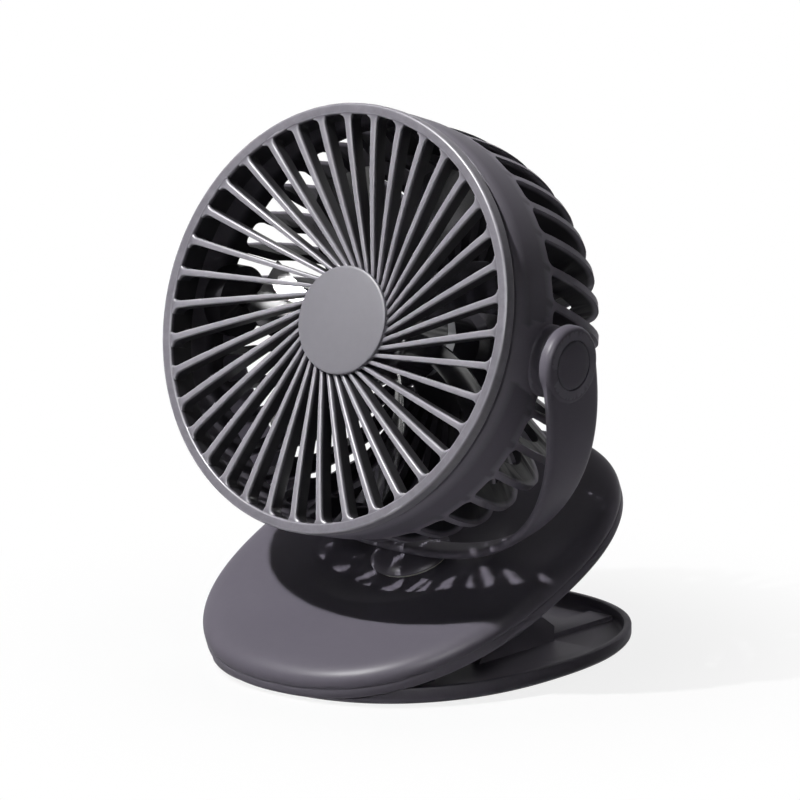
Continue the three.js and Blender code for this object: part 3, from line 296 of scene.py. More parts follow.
# The grille is the shell's plastic, its colour set lighter as painted light for what ring and ribs catch; its
# edges get a painted highlight and its walls painted shade.
grillePlastic = mouldedPlastic(
    "grillePlastic", (116, 113, 121), (180, 177, 185), roughness=0.36, grain=2600, grainDepth=0.00003,
    specular=0.08, wearAndSheen=0.75, wearSheenFrom=0.512, wearSheenTo=0.545, shade=grillePaintedShade)
discPlastic = mouldedPlastic(
    "discPlastic", (125, 123, 130), (140, 138, 145), grain=3200, grainDepth=0.00002, specular=0.08)
coverPlastic = mouldedPlastic("coverPlastic", (106, 102, 112), (140, 136, 146), roughness=0.46, specular=0.027)
rotorPlastic = mouldedPlastic(
    "rotorPlastic", (34, 32, 38), (64, 62, 68), roughness=0.2, grain=3000, grainDepth=0.00001,
    wearAndSheen=0.3, index=1.8)
nylonWhite = mouldedPlastic("nylonWhite", (212, 211, 204), grain=2400, grainDepth=0.00002, specular=0.4)
boardGreen = mouldedPlastic("boardGreen", (32, 92, 60), roughness=0.35, grain=1800, grainDepth=0.00002)
cellWrap = mouldedPlastic("cellWrap", (64, 110, 168), roughness=0.32, grain=1500, grainDepth=0.00002)
zincSteel = metalFinish("zincSteel", (196, 198, 203), 0.32)
springSteel = metalFinish("springSteel", (168, 168, 172), 0.26)
motorSteel = metalFinish("motorSteel", (180, 181, 184), 0.38)
gripRubber = rubbedRubber()
lensClear = clearLens()
print("materials made")


# Every builder works in millimetres, and piece() bakes the place matrix into the mesh.

def meshFrom(points, faces):
    mesh = bpy.data.meshes.new("work")
    mesh.from_pydata([tuple(p) for p in points], [], faces)
    mesh.update()
    return mesh


def edited(mesh, change):
    work = bmesh.new()
    work.from_mesh(mesh)
    change(work)
    work.to_mesh(mesh)
    work.free()
    return mesh


def cleaned(mesh):
    # joins the points that meet, drops what has no area and turns the faces outward
    def change(work):
        bmesh.ops.remove_doubles(work, verts=work.verts, dist=1e-4)
        bmesh.ops.dissolve_degenerate(work, edges=work.edges, dist=1e-6)
        bmesh.ops.recalc_face_normals(work, faces=work.faces)
    return edited(mesh, change)


def moved(mesh, *matrices):
    for matrix in matrices:
        mesh.transform(matrix)
    return mesh


def lathe(profile, segments, axis="Y", closed=False):
    # The profile gives radius and distance along the axis. It starts and ends on the axis or closes on itself.
    points, faces, rings = [], [], []
    for radius, along in profile:
        if radius < 1e-6:
            rings.append([len(points)])
            points.append((0, along, 0))
            continue
        rings.append(list(range(len(points), len(points) + segments)))
        for i in range(segments):
            turn = 2 * pi * i / segments
            points.append((radius * sin(turn), along, radius * cos(turn)))
    for a, b in list(zip(rings, rings[1:])) + ([(rings[-1], rings[0])] if closed else []):
        if len(a) == 1 and len(b) == 1:
            continue
        for i in range(segments):
            j = (i + 1) % segments
            if len(a) == 1:
                faces.append((a[0], b[i], b[j]))
            elif len(b) == 1:
                faces.append((a[i], b[0], a[j]))
            else:
                faces.append((a[i], b[i], b[j], a[j]))
    mesh = meshFrom(points, faces)
    if axis == "X":
        mesh.transform(turnBy(-pi / 2, "Z"))
    if axis == "Z":
        mesh.transform(turnBy(pi / 2, "X"))
    return cleaned(mesh)


def loft(sections, closed=False):
    rows, count = len(sections), len(sections[0])
    faces = []
    for row in range(rows if closed else rows - 1):
        here, there = row * count, (row + 1) % rows * count
        for i in range(count):
            j = (i + 1) % count
            faces.append((here + i, here + j, there + j, there + i))
    if not closed:
        faces.append(tuple(range(count)))
        faces.append(tuple(range((rows - 1) * count, rows * count)))
    return cleaned(meshFrom([p for section in sections for p in section], faces))


def edge(radius, along, *offsets):
    # the points of a profile's edge: how far each lies inside the radius and past the face
    return [(radius - inside, along + past) for inside, past in offsets]


def quarter(steps):  # the angles of a quarter circle
    return [i / steps * pi / 2 for i in range(steps + 1)]


def signedPower(value, power):
    return copysign(abs(value) ** power, value)


def rounded(corners, steps):
    # an outline whose corners carry a radius: (x, y, radius)
    out = []
    for i, (x, y, radius) in enumerate(corners):
        if radius <= 0:
            out.append((x, y))
            continue
        here = Vector((x, y))
        before = Vector(corners[i - 1][:2]) - here
        after = Vector(corners[(i + 1) % len(corners)][:2]) - here
        reach = min(radius / max(0.05, tan(before.angle(after) / 2)),
                    before.length * 0.49, after.length * 0.49)  # less than half of either side
        start, end = here + before.normalized() * reach, here + after.normalized() * reach
        for k in range(steps + 1):
            t = k / steps
            spot = start * (1 - t) ** 2 + here * (2 * t * (1 - t)) + end * t * t
            out.append((spot.x, spot.y))
    return out


def holder(name, mesh):
    thing = bpy.data.objects.new(name, mesh)
    scene.collection.objects.link(thing)
    return thing


def applied(thing):
    # the object's mesh with its modifiers, and the modifiers gone
    graph = bpy.context.evaluated_depsgraph_get()
    graph.update()
    mesh = bpy.data.meshes.new_from_object(thing.evaluated_get(graph))
    thing.modifiers.clear()
    thing.data = mesh
    return mesh


def combined(first, second, operation):
    a, b = holder("work", first), holder("tool", second)
    modifier = a.modifiers.new("cut", "BOOLEAN")
    modifier.operation, modifier.object, modifier.solver = operation, b, "MANIFOLD"
    mesh = applied(a)
    bpy.data.objects.remove(a)
    bpy.data.objects.remove(b)
    return mesh


def union(mesh, *others):
    for other in others:
        mesh = combined(mesh, other, "UNION")
    return mesh


def without(mesh, *tools):
    for tool in tools:
        mesh = combined(mesh, tool, "DIFFERENCE")
    return mesh


def rodMesh(radius, start, end, axis, middle=(0, 0, 0), segments=48):
    rod = lathe([(0, start), (radius, start), (radius, end), (0, end)], segments, axis)
    return moved(rod, shiftBy(*middle))


def blockMesh(low, high):
    size = [b - a for a, b in zip(low, high)]
    middle = [(a + b) / 2 for a, b in zip(low, high)]
    cube = edited(bpy.data.meshes.new("work"), lambda work: bmesh.ops.create_cube(work, size=1))
    return moved(cube, Matrix.Diagonal((*size, 1)), shiftBy(*middle))


def repeatRound(name, mesh, count, material):
    # Geometry Nodes: copies of one mesh turned round the Y axis
    tree = bpy.data.node_groups.new(name, "GeometryNodeTree")
    face = tree.interface
    face.new_socket("Piece", in_out="INPUT", socket_type="NodeSocketGeometry")
    countIn = face.new_socket("Count", in_out="INPUT", socket_type="NodeSocketInt")
    face.new_socket("Result", in_out="OUTPUT", socket_type="NodeSocketGeometry")
    nodes, links = tree.nodes, tree.links
    source, sink = nodes.new("NodeGroupInput"), nodes.new("NodeGroupOutput")
    line = nodes.new("GeometryNodePoints")
    links.new(source.outputs["Count"], line.inputs["Count"])
    share = Wire(tree, nodes.new("GeometryNodeInputIndex").outputs[0]).calc(
        "DIVIDE", Wire(tree, source.outputs["Count"]))
    turn = nodes.new("ShaderNodeCombineXYZ")
    links.new((share * (2 * pi)).socket, turn.inputs["Y"])
    spread = nodes.new("GeometryNodeInstanceOnPoints")
    links.new(line.outputs[0], spread.inputs["Points"])
    links.new(source.outputs["Piece"], spread.inputs["Instance"])
    links.new(turn.outputs[0], spread.inputs["Rotation"])
    real = nodes.new("GeometryNodeRealizeInstances")
    links.new(spread.outputs[0], real.inputs[0])
    paint = nodes.new("GeometryNodeSetMaterial")
    paint.inputs["Material"].default_value = material
    links.new(real.outputs[0], paint.inputs[0])
    links.new(paint.outputs[0], sink.inputs[0])
    thing = holder(name, mesh)
    modifier = thing.modifiers.new(name, "NODES")
    modifier.node_group = tree
    modifier[countIn.identifier] = count
    result = applied(thing)
    bpy.data.objects.remove(thing)
    return result


def piece(name, mesh, place, material, body, slot, *nodes, smooth=35, bevel=0, bevelAngle=35):
    # bakes the place in, rounds the edges and hands the piece to its body
    mesh.transform(Matrix.Scale(mm, 4) @ place)
    mesh.name = name
    mesh.materials.clear()
    mesh.materials.append(material)
    for polygon in mesh.polygons:
        polygon.material_index = 0
    thing = holder(name, mesh)
    if bevel:
        modifier = thing.modifiers.new("edges", "BEVEL")
        modifier.width, modifier.segments = bevel * mm, 2
        modifier.limit_method, modifier.angle_limit = "ANGLE", radians(bevelAngle)
        mesh = applied(thing)
    mesh.polygons.foreach_set("use_smooth", [True] * len(mesh.polygons))
    mesh.set_sharp_from_angle(angle=radians(smooth))
    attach(thing, body)
    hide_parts(*nodes)


def grilleRib():
    g = grille
    inner, outer = g["hubRadius"] - g["ribRoot"], g["ringInner"] + g["ribTip"]
    span = g["ringInner"] - g["hubRadius"]
    half = [(0.2, 0), (0.37, 0.07), (0.47, 0.25), (0.5, 0.55), (0.4, g["ribDepth"])]  # share of width, depth
    outline = [(-share, depth) for share, depth in half[::-1]] + half

    def middle(radius):  # of the rib's face: where it stands in the ring's plane, and its depth
        inward = max((g["ringInner"] - radius) / span, 0)
        turn = asin(g["offset"] / radius) - asin(g["offset"] / g["ringInner"])
        face = g["ribFace"] + (g["hubFace"] - g["ribFace"]) * inward ** g["ribBow"]
        return Vector((sin(turn), cos(turn))) * radius, face

    sections = []
    for row in range(g["ribStations"] + 1):
        radius = inner + (outer - inner) * (1 - (1 - row / g["ribStations"]) ** g["ribCrowding"])
        place, face = middle(radius)
        along = (middle(radius + 0.1)[0] - middle(radius - 0.1)[0]).normalized()
        toRing = max(0, 1 - max(g["ringInner"] - radius, 0) / g["flareLength"])
        width = g["ribHubWidth"] + (g["ribWidth"] - g["ribHubWidth"]) * ((radius - g["hubRadius"]) / span)
        width += g["flare"] * (1 - (1 - toRing ** 2) ** 0.5)
        sections.append([(place.x + share * width * along.y, face + depth, place.y - share * width * along.x)
                         for share, depth in outline])
    return loft(sections)


def makeGrille():
    g = grille
    inner, outer, bead, spigot = g["ringInner"], g["ringRadius"], g["ringBead"], g["spigotRadius"]
    ribs = repeatRound("grilleRibs", grilleRib(), g["ribs"], grillePlastic)
    ring = lathe(rounded([
        (inner, g["ringFace"], 0.7), (outer, g["ringFace"], 0.9), (outer, bead, 0.6), (spigot, bead, 0),
        (spigot, g["spigotDepth"], 0.3), (inner, g["spigotDepth"], 0.3)], 6), g["ringSegments"], closed=True)
    radius, face = g["hubRadius"], g["hubFace"]
    bore, floor, end = radius - g["hubWall"], face + g["hubFloor"], face + g["hubLength"]
    hub = lathe([
        (0, face), *edge(radius, face, (0.6, 0), (0.15, 0.15), (0, 0.6)), (radius, end),
        (bore, end), (bore, floor), (0, floor)], g["hubSegments"])
    piece("grilleFront", union(ring, hub, ribs), fanPlace, grillePlastic, "head", "housing_plastic",
          "front_grille", smooth=40)
    radius, back = g["discRadius"], face - g["seat"]
    front = back - g["discThickness"]
    disc = lathe([
        (0, front), *edge(radius, front, (0.75, 0), (0.4, 0.06), (0.12, 0.2), (0, 0.5)),
        *edge(radius, back, (0, -0.1), (0.1, 0)), (0, back)], g["hubSegments"])
    piece("grilleDisc", disc, fanPlace, discPlastic, "head", "housing_plastic", "grille_disc")
    print("grille made")


def bowlCurve(startRadius, startDepth, endDepth, steps):
    # from a radius at one depth to the flat of the back at another
    flat, power = housing["flatRadius"], 2 / housing["power"]
    return [(flat + (startRadius - flat) * max(cos(turn), 0) ** power,
             startDepth + (endDepth - startDepth) * sin(turn) ** power) for turn in quarter(steps)]


def ventCutter(front):
    # a wedge between two ribs of even width, with a rounded front end, leaning round the axis as it runs back
    h = housing
    steps, length = h["ventSteps"], h["ventBack"] - front
    sections = []
    for radius in (h["ventInner"], h["ventOuter"]):
        half = (radius * sin(pi / h["vents"]) - h["ribWidth"] / 2) / cos(pi / h["vents"])
        corner = min(half * 0.98, h["ventRound"])
        outline = [(half, front + length * (1 - k / steps)) for k in range(steps)]
        for middle, first in ((half - corner, 0), (corner - half, pi / 2)):
            outline += [(middle + corner * cos(first + turn), front + corner - corner * sin(first + turn))
                        for turn in quarter(6)]
        outline += [(-half, front + length * k / steps) for k in range(1, steps + 1)]
        section = []
        for across, depth in outline:
            lean = h["ribSweep"] * max(depth - h["bandEnd"], 0) / (h["depth"] - h["bandEnd"])
            section.append((across * cos(lean) + radius * sin(lean), depth,
                            radius * cos(lean) - across * sin(lean)))
        sections.append(section)
    return loft(sections)


def makeHousing():
    h = housing
    band, end, wall, depth = h["bandRadius"], h["bandEndRadius"], h["bandWall"], h["depth"]
    socket, socketEnd = grille["spigotRadius"] + grille["seat"], grille["spigotDepth"] + grille["seat"]
    innerFace, ribFace, capFace = depth - h["faceThickness"], depth - h["ribRear"], depth - h["capDepth"]
    ledge, towerBack = h["ventInner"] + 0.4, h["towerFront"] + h["towerSeat"]
    ribInside = end - h["ribRadial"]
    inside = [
        (0, h["towerFront"]), (h["towerRadius"], h["towerFront"]), (h["towerRadius"], innerFace - 2.5),
        (h["towerRadius"] + 2, innerFace), (ledge, innerFace), (ledge, ribFace),
        *bowlCurve(ribInside, h["bandEnd"] + h["ribStart"], ribFace, h["ribSteps"])[::-1],
        *edge(end - wall, h["bandEnd"], (0.8, 0.6), (0, -1.5)), (band - wall, h["wallEnd"]),
        (band - wall, socketEnd), (socket, socketEnd),
    ]
    outside = [
        (socket, h["bandFront"]), *edge(band, h["bandFront"], (0.65, 0), (0.2, 0.2), (0, 0.65)),
        (band, 12), (band - 0.3, 19), (end + 0.2, 23.5), *bowlCurve(end, h["bandEnd"], depth, h["bowlSteps"]),
        (h["ventInner"], depth), (h["capSocket"], depth), (h["capSocket"], capFace), (h["towerBore"], capFace),
        (h["towerBore"], towerBack), (0, towerBack),
    ]
    shell = lathe(inside + outside, h["segments"])
    vents = repeatRound("vents", ventCutter(h["ventFront"]), h["vents"], headPlastic)
    # The two vents behind the side bosses stay closed down to the boss's edge.
    near, far, half = h["guardInner"], h["guardOuter"], h["guardHalf"]
    guard = union(*(blockMesh((start, 0, -half), (stop, h["bossVentFront"], half))
                    for start, stop in ((near, far), (-far, -near))))
    sideVents = [moved(ventCutter(h["bossVentFront"]), turnBy(side * pi / 2, "Y")) for side in (1, -1)]
    shell = without(shell, without(vents, guard), *sideVents)
    radius, face, start = h["bossRadius"], h["bossFace"], ribInside + 1
    filletStart, filletMiddle, filletEnd = h["bossFillet"]
    for side in (0, pi):
        places = turnBy(side, "Z"), shiftBy(0, placing["tiltAxisDepth"], 0)
        boss = lathe([
            (0, start), (radius + 0.9, start), (radius + 0.9, filletStart), (radius + 0.3, filletMiddle),
            (radius, filletEnd), *edge(radius, face, (0, -0.6), (0.2, -0.2), (0.6, 0)), (0, face)],
            h["bossSegments"], "X")
        post = rodMesh(h["postRadius"], h["postInner"], end, "X")
        bore = rodMesh(h["bore"], h["postInner"] - 1, face + 1, "X")
        shell = union(shell, moved(boss, *places), moved(post, *places))
        shell = without(shell, moved(bore, *places))
    for x in (-h["motorScrew"], h["motorScrew"]):
        shell = without(shell, rodMesh(h["motorScrewHole"], h["towerFront"] - 1, towerBack + 1, "Y", (x, 0, 0)))
    piece("housingShell", shell, fanPlace, headPlastic, "head", "housing_plastic", "rear_housing",
          smooth=38, bevel=0.22, bevelAngle=42)
    seat, plug, rim = capFace + h["capGap"], h["towerBore"] - h["capGap"], h["capRadius"]
    cap = lathe([
        (0, seat - h["capPlug"]), (plug, seat - h["capPlug"]), (plug, seat), (rim, seat),
        *edge(rim, depth, (0, 0), (0.3, 0.35), (1, 0.55), (2.5, 0.6)), (0, depth + 0.6)], h["capSegments"])
    piece("housingCap", cap, fanPlace, shellPlastic, "head", "housing_plastic", "rear_cap")
    print("housing made")


rotor = {
    "hubRadius": 14.5, "hubWall": 1.5, "front": 16, "back": 36, "hubSegments": 112,
    "bossRadius": 3.2, "bossEnd": 23.1, "bore": 1.4, "boreEnd": 18.2,
    "blades": 7, "rootDepth": 0.8, "tipRadius": 50.5, "middle": 27, "thickness": 1.4, "camber": 0.09,
    "rootChord": 11, "chordGain": 9, "tipLoss": 3,  # wider to the middle of the span, rounded off at the tip
    "rootPitch": 50, "pitchLoss": 26, "lead": 0.35, "spanSteps": 18, "chordSteps": 12,
}


def rotorBlade():
    r = rotor
    start = r["hubRadius"] - r["rootDepth"]
    sections = []
    for row in range(r["spanSteps"] + 1):
        share = row / r["spanSteps"]
        radius = start + share * (r["tipRadius"] - start)
        chord = r["rootChord"] + r["chordGain"] * sin(share * pi * 0.5) - r["tipLoss"] * share ** 6
        pitch = radians(r["rootPitch"] - r["pitchLoss"] * share)
        lead = r["lead"] * share ** 1.4
        thickness = r["thickness"] * (1.25 - 0.55 * share)
        upper, lower = [], []
        for k in range(r["chordSteps"] + 1):
            along = -0.5 + k / r["chordSteps"]
            sag = r["camber"] * chord * (1 - (2 * along) ** 2)
            half = thickness / 2 * max(0.18, (1 - (2 * along) ** 4)) ** 0.5  # thinner to both edges
            for run, side in ((upper, half), (lower, -half)):
                across = along * chord * cos(pitch) - (sag + side) * sin(pitch)
                depth = r["middle"] + along * chord * sin(pitch) + (sag + side) * cos(pitch)
                turn = lead + across / radius
                run.append((radius * sin(turn), depth, radius * cos(turn)))
        sections.append(upper + lower[::-1])
    return loft(sections)


def makeRotor():
    r = rotor
    radius, front, back, boss, bore = r["hubRadius"], r["front"], r["back"], r["bossRadius"], r["bore"]
    inner = radius - r["hubWall"]
    hub = lathe([
        (0, front), (8, front + 0.1), *edge(radius, front, (3, 0.5), (1.1, 1.4), (0.3, 2.6), (0, 4.2)),
        (radius, back), (inner, back), (inner, front + 3.6), (boss, front + 3), (boss, r["bossEnd"]),
        (bore, r["bossEnd"]), (bore, r["boreEnd"]), (0, r["boreEnd"])], r["hubSegments"])
    blades = repeatRound("rotorBlades", rotorBlade(), r["blades"], rotorPlastic)
    hollow = rodMesh(inner, front + 4, back + 2, "Y", segments=r["hubSegments"])
    piece("rotorFan", union(without(blades, hollow), hub), fanPlace, rotorPlastic, "rotor", "rotor_plastic",
          "fan_rotor", smooth=50)
    print("rotor made")


yoke = {
    "drop": 67.56, "power": 2.4, "topWidth": 22.8, "bottomWidth": 8.5, "topThickness": 3.9,
    "bottomThickness": 2.6, "recess": 0.4,  # of the strap's top under the bosses
    "face": 66.4, "bossRadius": 11.4, "bossRound": 1.8, "footRadius": 12, "footHeight": 2.4,
    "spindleRadius": 4.6, "spindleLength": 3.7, "screwBore": 1.5, "screwEnd": 1.8,
    "pivotBore": 1.8, "headSocket": 4.1, "headSeat": 67.4,
    "capSocket": 7.4, "capSeat": 69.3, "capRadius": 7, "capThickness": 1.2, "capGap": 0.3,
    "strapSteps": 120, "sectionSteps": 20, "segments": 96,
}


def yokeStrap():
    y = yoke
    middleX = y["face"] + y["topThickness"] / 2
    top = y["topThickness"] - y["recess"]

    def at(share):
        c, s = cos(share * pi), sin(share * pi)
        return Vector((middleX * signedPower(c, 2 / y["power"]), 0, -y["drop"] * abs(s) ** (2 / y["power"])))

    sections = []
    for i in range(y["strapSteps"] + 1):
        share = i / y["strapSteps"]
        middle = at(share)
        along = (at(min(share + 1e-3, 1)) - at(max(share - 1e-3, 0))).normalized()
        outward = Vector((-along.z, 0, along.x))
        low = -middle.z / y["drop"]
        width = y["topWidth"] + (y["bottomWidth"] - y["topWidth"]) * low ** 2.2
        thickness = top + (y["bottomThickness"] - top) * low
        section = []
        for k in range(y["sectionSteps"]):
            turn = (k + 0.5) / y["sectionSteps"] * 2 * pi
            across = width / 2 * signedPower(cos(turn), 0.45)
            through = thickness / 2 * signedPower(sin(turn), 0.6)
            section.append(middle + Vector((0, across, 0)) + outward * through)
        sections.append(section)
    return loft(sections)


def makeYoke():
    y = yoke
    outer = y["face"] + y["topThickness"]
    boss = [
        (0, y["face"]), *edge(y["bossRadius"], y["face"], (0.5, 0), (0, 0.5)),
        *((y["bossRadius"] - y["bossRound"] * (1 - cos(turn)), outer - y["bossRound"] * (1 - sin(turn)))
          for turn in quarter(6)), (0, outer)]
    body = yokeStrap()
    for side in (0, pi):
        body = union(body, moved(lathe(boss, y["segments"], "X"), turnBy(side, "Z")))
    spindle, below = y["spindleRadius"], -y["spindleLength"]
    foot = lathe([
        (0, below), (spindle, below), (spindle, 0),
        *edge(y["footRadius"], 0, (0.6, 0), (0.1, 0.2), (0, 0.6), (0.4, 1.2), (1.5, 1.9)),
        (y["footRadius"] - 3.5, y["footHeight"]), (0, y["footHeight"])], y["segments"], "Z")
    toFoot = shiftBy(0, 0, -placing["pivotHeight"]) @ turnBy(placing["yokeRake"], "X")
    body = union(body, moved(foot, toFoot))
    body = without(body, moved(rodMesh(y["screwBore"], below - 1, y["screwEnd"], "Z"), toFoot))
    for side in (0, pi):
        for radius, start, end in ((y["pivotBore"], y["face"] - 1, outer),
                                   (y["headSocket"], y["headSeat"], outer + 1),
                                   (y["capSocket"], y["capSeat"] - y["capGap"], outer + 1)):
            hole = rodMesh(radius, start, end, "X", segments=y["segments"])
            body = without(body, moved(hole, turnBy(side, "Z")))
    piece("yokeArm", body, yokePlace, shellPlastic, "yoke", "housing_plastic", "yoke", smooth=40)
    seat, radius, top = y["capSeat"], y["capRadius"], y["capSeat"] + y["capThickness"]
    for side, turn in (("right", 0), ("left", pi)):
        cap = lathe([
            (0, seat), (radius, seat), *edge(radius, top, (0, -0.45), (0.12, -0.2), (0.45, -0.06), (3, 0.12)),
            (0, top + 0.24)], y["segments"], "X")
        piece("pivotCap_" + side, moved(cap, turnBy(turn, "Z")), yokePlace, shellPlastic, "yoke",
              "housing_plastic", "pivot_cap_" + side)
    print("yoke made")


makeGrille()
makeHousing()
makeRotor()
makeYoke()

oval = {"halfLength": 66.4, "halfWidth": 54.8, "middle": 0, "power": 2.33, "steps": 176}
topShell = {
    "parting": 3.6, "height": 8.8, "fillet": 8, "filletPower": 2.5, "wall": 1.8,
    "step": 0.25, "stepInset": 0.12,  # a small bevel over the parting line
    "dishRadius": 30, "dishSeat": 14.5, "dishHeight": 4.4, "dishWall": 2, "dishRim": 0.9, "spindleHole": 4.9,
    "buttonL": 48.5, "buttonHole": 6.3, "lightL": 37, "lightSpacing": 5, "lights": 4, "lightHole": 1.3,
    "portHalfWidth": 4.9, "portLow": 2.8, "portHigh": 6.6, "portFrom": 57, "portTo": 70,
    "screws": [(-44, -12), (44, -12), (-36, 33), (36, 33)],
    "postRadius": 3.4, "postBottom": 2.9, "postHole": 1.5,
}
button = {"flangeRadius": 7.4, "flange": 0.8, "gap": 0.3, "radius": 6, "top": 9.4}


def ovalRing(inset, z, circle=None, mix=0, size=oval):
    # an outline of the oval, drawn in by the inset and blended into a circle by the mix
    ring = []
    for i in range(oval["steps"]):
        turn = 2 * pi * i / oval["steps"]
        c, s = cos(turn), sin(turn)
        x = (size["halfWidth"] - inset) * signedPower(c, 2 / oval["power"])
        y = size["middle"] + (size["halfLength"] - inset) * signedPower(s, 2 / oval["power"])
        if circle is not None:
            x += (circle * c - x) * mix
            y += (circle * s - y) * mix
        ring.append((x, y, z))
    return ring


def portBlock():
    t = topShell
    return blockMesh((-t["portHalfWidth"], t["portFrom"], t["portLow"]),
                     (t["portHalfWidth"], t["portTo"], t["portHigh"]))


def makeTopShell():
    t = topShell
    power = 2 / t["filletPower"]
    start, ceiling = t["parting"] + t["step"], t["height"] - t["wall"]
    under = t["dishHeight"] - t["dishWall"]
    outer = [ovalRing(t["stepInset"], t["parting"])]
    outer += [ovalRing(t["fillet"] * (1 - max(cos(turn), 0) ** power),
                       start + (t["height"] - t["parting"] - t["step"]) * sin(turn) ** power)
              for turn in quarter(14)]
    top = [ovalRing(t["fillet"], t["height"], t["dishRadius"] + t["dishRim"], mix) for mix in (0.35, 0.7, 1)]
    dish = [ovalRing(0, z, r, 1) for r, z in (
        *edge(t["dishRadius"], t["height"], (0, -0.06), (0.8, -0.24)), (24, 6.95), (19, 5.55),
        *edge(t["dishSeat"], t["dishHeight"], (-0.8, 0.16), (0.4, 0)), (9, t["dishHeight"]),
        (t["spindleHole"], t["dishHeight"]), (t["spindleHole"], under), (t["dishSeat"], under),
        (t["dishRadius"] - 2.5, ceiling))]
    inner = [ovalRing(t["wall"] + (t["fillet"] - t["wall"]) * (1 - max(cos(turn), 0) ** power),
                      t["parting"] + (ceiling - t["parting"]) * sin(turn) ** power)
             for turn in quarter(8)[::-1]]
    mesh = loft(outer + top + dish + inner, closed=True)
    for x, y in t["screws"]:
        mesh = union(mesh, rodMesh(t["postRadius"], t["postBottom"], ceiling + 0.5, "Z", (x, y, 0)))
        mesh = without(mesh, rodMesh(t["postHole"], 0, ceiling - 0.1, "Z", (x, y, 0)))
    low, high = ceiling - 1, t["height"] + 1  # through the top
    mesh = without(mesh, rodMesh(t["buttonHole"], low, high, "Z", (0, t["buttonL"], 0), 80), portBlock())
    for i in range(t["lights"]):
        x = (i - (t["lights"] - 1) / 2) * t["lightSpacing"]
        mesh = without(mesh, rodMesh(t["lightHole"], low, high, "Z", (x, t["lightL"], 0)))
    piece("baseTop", mesh, basePlace, shellPlastic, "base", "housing_plastic", "base_top_shell", smooth=32)
    b = button
    flangeTop, face = ceiling - b["gap"], b["top"]
    press = lathe([
        (0, flangeTop - b["flange"]), (b["flangeRadius"], flangeTop - b["flange"]),
        (b["flangeRadius"], flangeTop), (b["radius"], flangeTop),
        *edge(b["radius"], face, (0, -0.5), (0.15, -0.15), (0.6, 0), (1.8, -0.1), (3.5, -0.35)),
        (0, face - 0.45)], 96, "Z")
    piece("pressButton", moved(press, shiftBy(0, t["buttonL"], 0)), basePlace, shellPlastic, "button",
          "housing_plastic", "power_button")
    print("base top made")


# The bottom cover of the base and the lower jaw share the hinge.
clip = {
    "hingeY": 8, "hingeZ": 13.5, "pinHole": 2.3, "pinReach": 60, "earX": 23.9, "lowerEar": 3.2, "upperEar": 3,
    "gap": 0.3,
}
bottomCover = {
    "rim": 3.52, "floor": 1.6, "wall": 2, "bellyHalfWidth": 22.5, "bellyFront": -15, "bellyBack": 47,
    "bellyDepth": 7.5, "bellyWall": 1.4, "bellyRound": 2.5, "bellyCorner": 5, "earRadius": 5.5, "earFoot": 12,
    "padTop": 2.3, "screwHole": 1.5, "headHole": 2.9, "headSeat": 1.3,
}
tray = {
    "halfLength": 64.95, "halfWidth": 53, "middle": 1.45, "height": 5.6, "wall": 2.2, "floor": 2,
    "panelHeight": 1.3, "panelHalfWidth": 25, "panelFront": 29.5, "panelBack": 58.5,
    "notchHalfWidth": 16.5, "notchDepth": 11.5, "earRadius": 6, "earFoot": 14, "earRise": 4.5,
}


def hull(points):
    # the outline drawn tight round some points
    def half(run):
        out = []
        for y, z in run:
            while len(out) > 1 and ((out[-1][0] - out[-2][0]) * (z - out[-2][1])
                                    <= (out[-1][1] - out[-2][1]) * (y - out[-2][0])):
                out.pop()
            out.append((y, z))
        return out[:-1]
    ordered = sorted(points)
    return half(ordered) + half(ordered[::-1])


def earPlate(foot, centre, radius, start, end):
    # a flat ear from its foot to a round end about the hinge
    rim = [(centre[0] + radius * cos(k / 30 * pi), centre[1] + radius * sin(k / 30 * pi)) for k in range(60)]
    outline = hull(foot + rim)
    return loft([[(x, y, z) for y, z in outline] for x in (start, end)])


def boxRing(inset, z):
    # an outline of the belly under the bottom cover
    c = bottomCover
    half, front, back = c["bellyHalfWidth"] - inset, c["bellyFront"] + inset, c["bellyBack"] - inset
    corner = max(c["bellyCorner"] - inset, 0.4)
    return [(x, y, z) for x, y in rounded([(half, front, corner), (half, back, corner),
                                           (-half, back, corner), (-half, front, corner)], 8)]


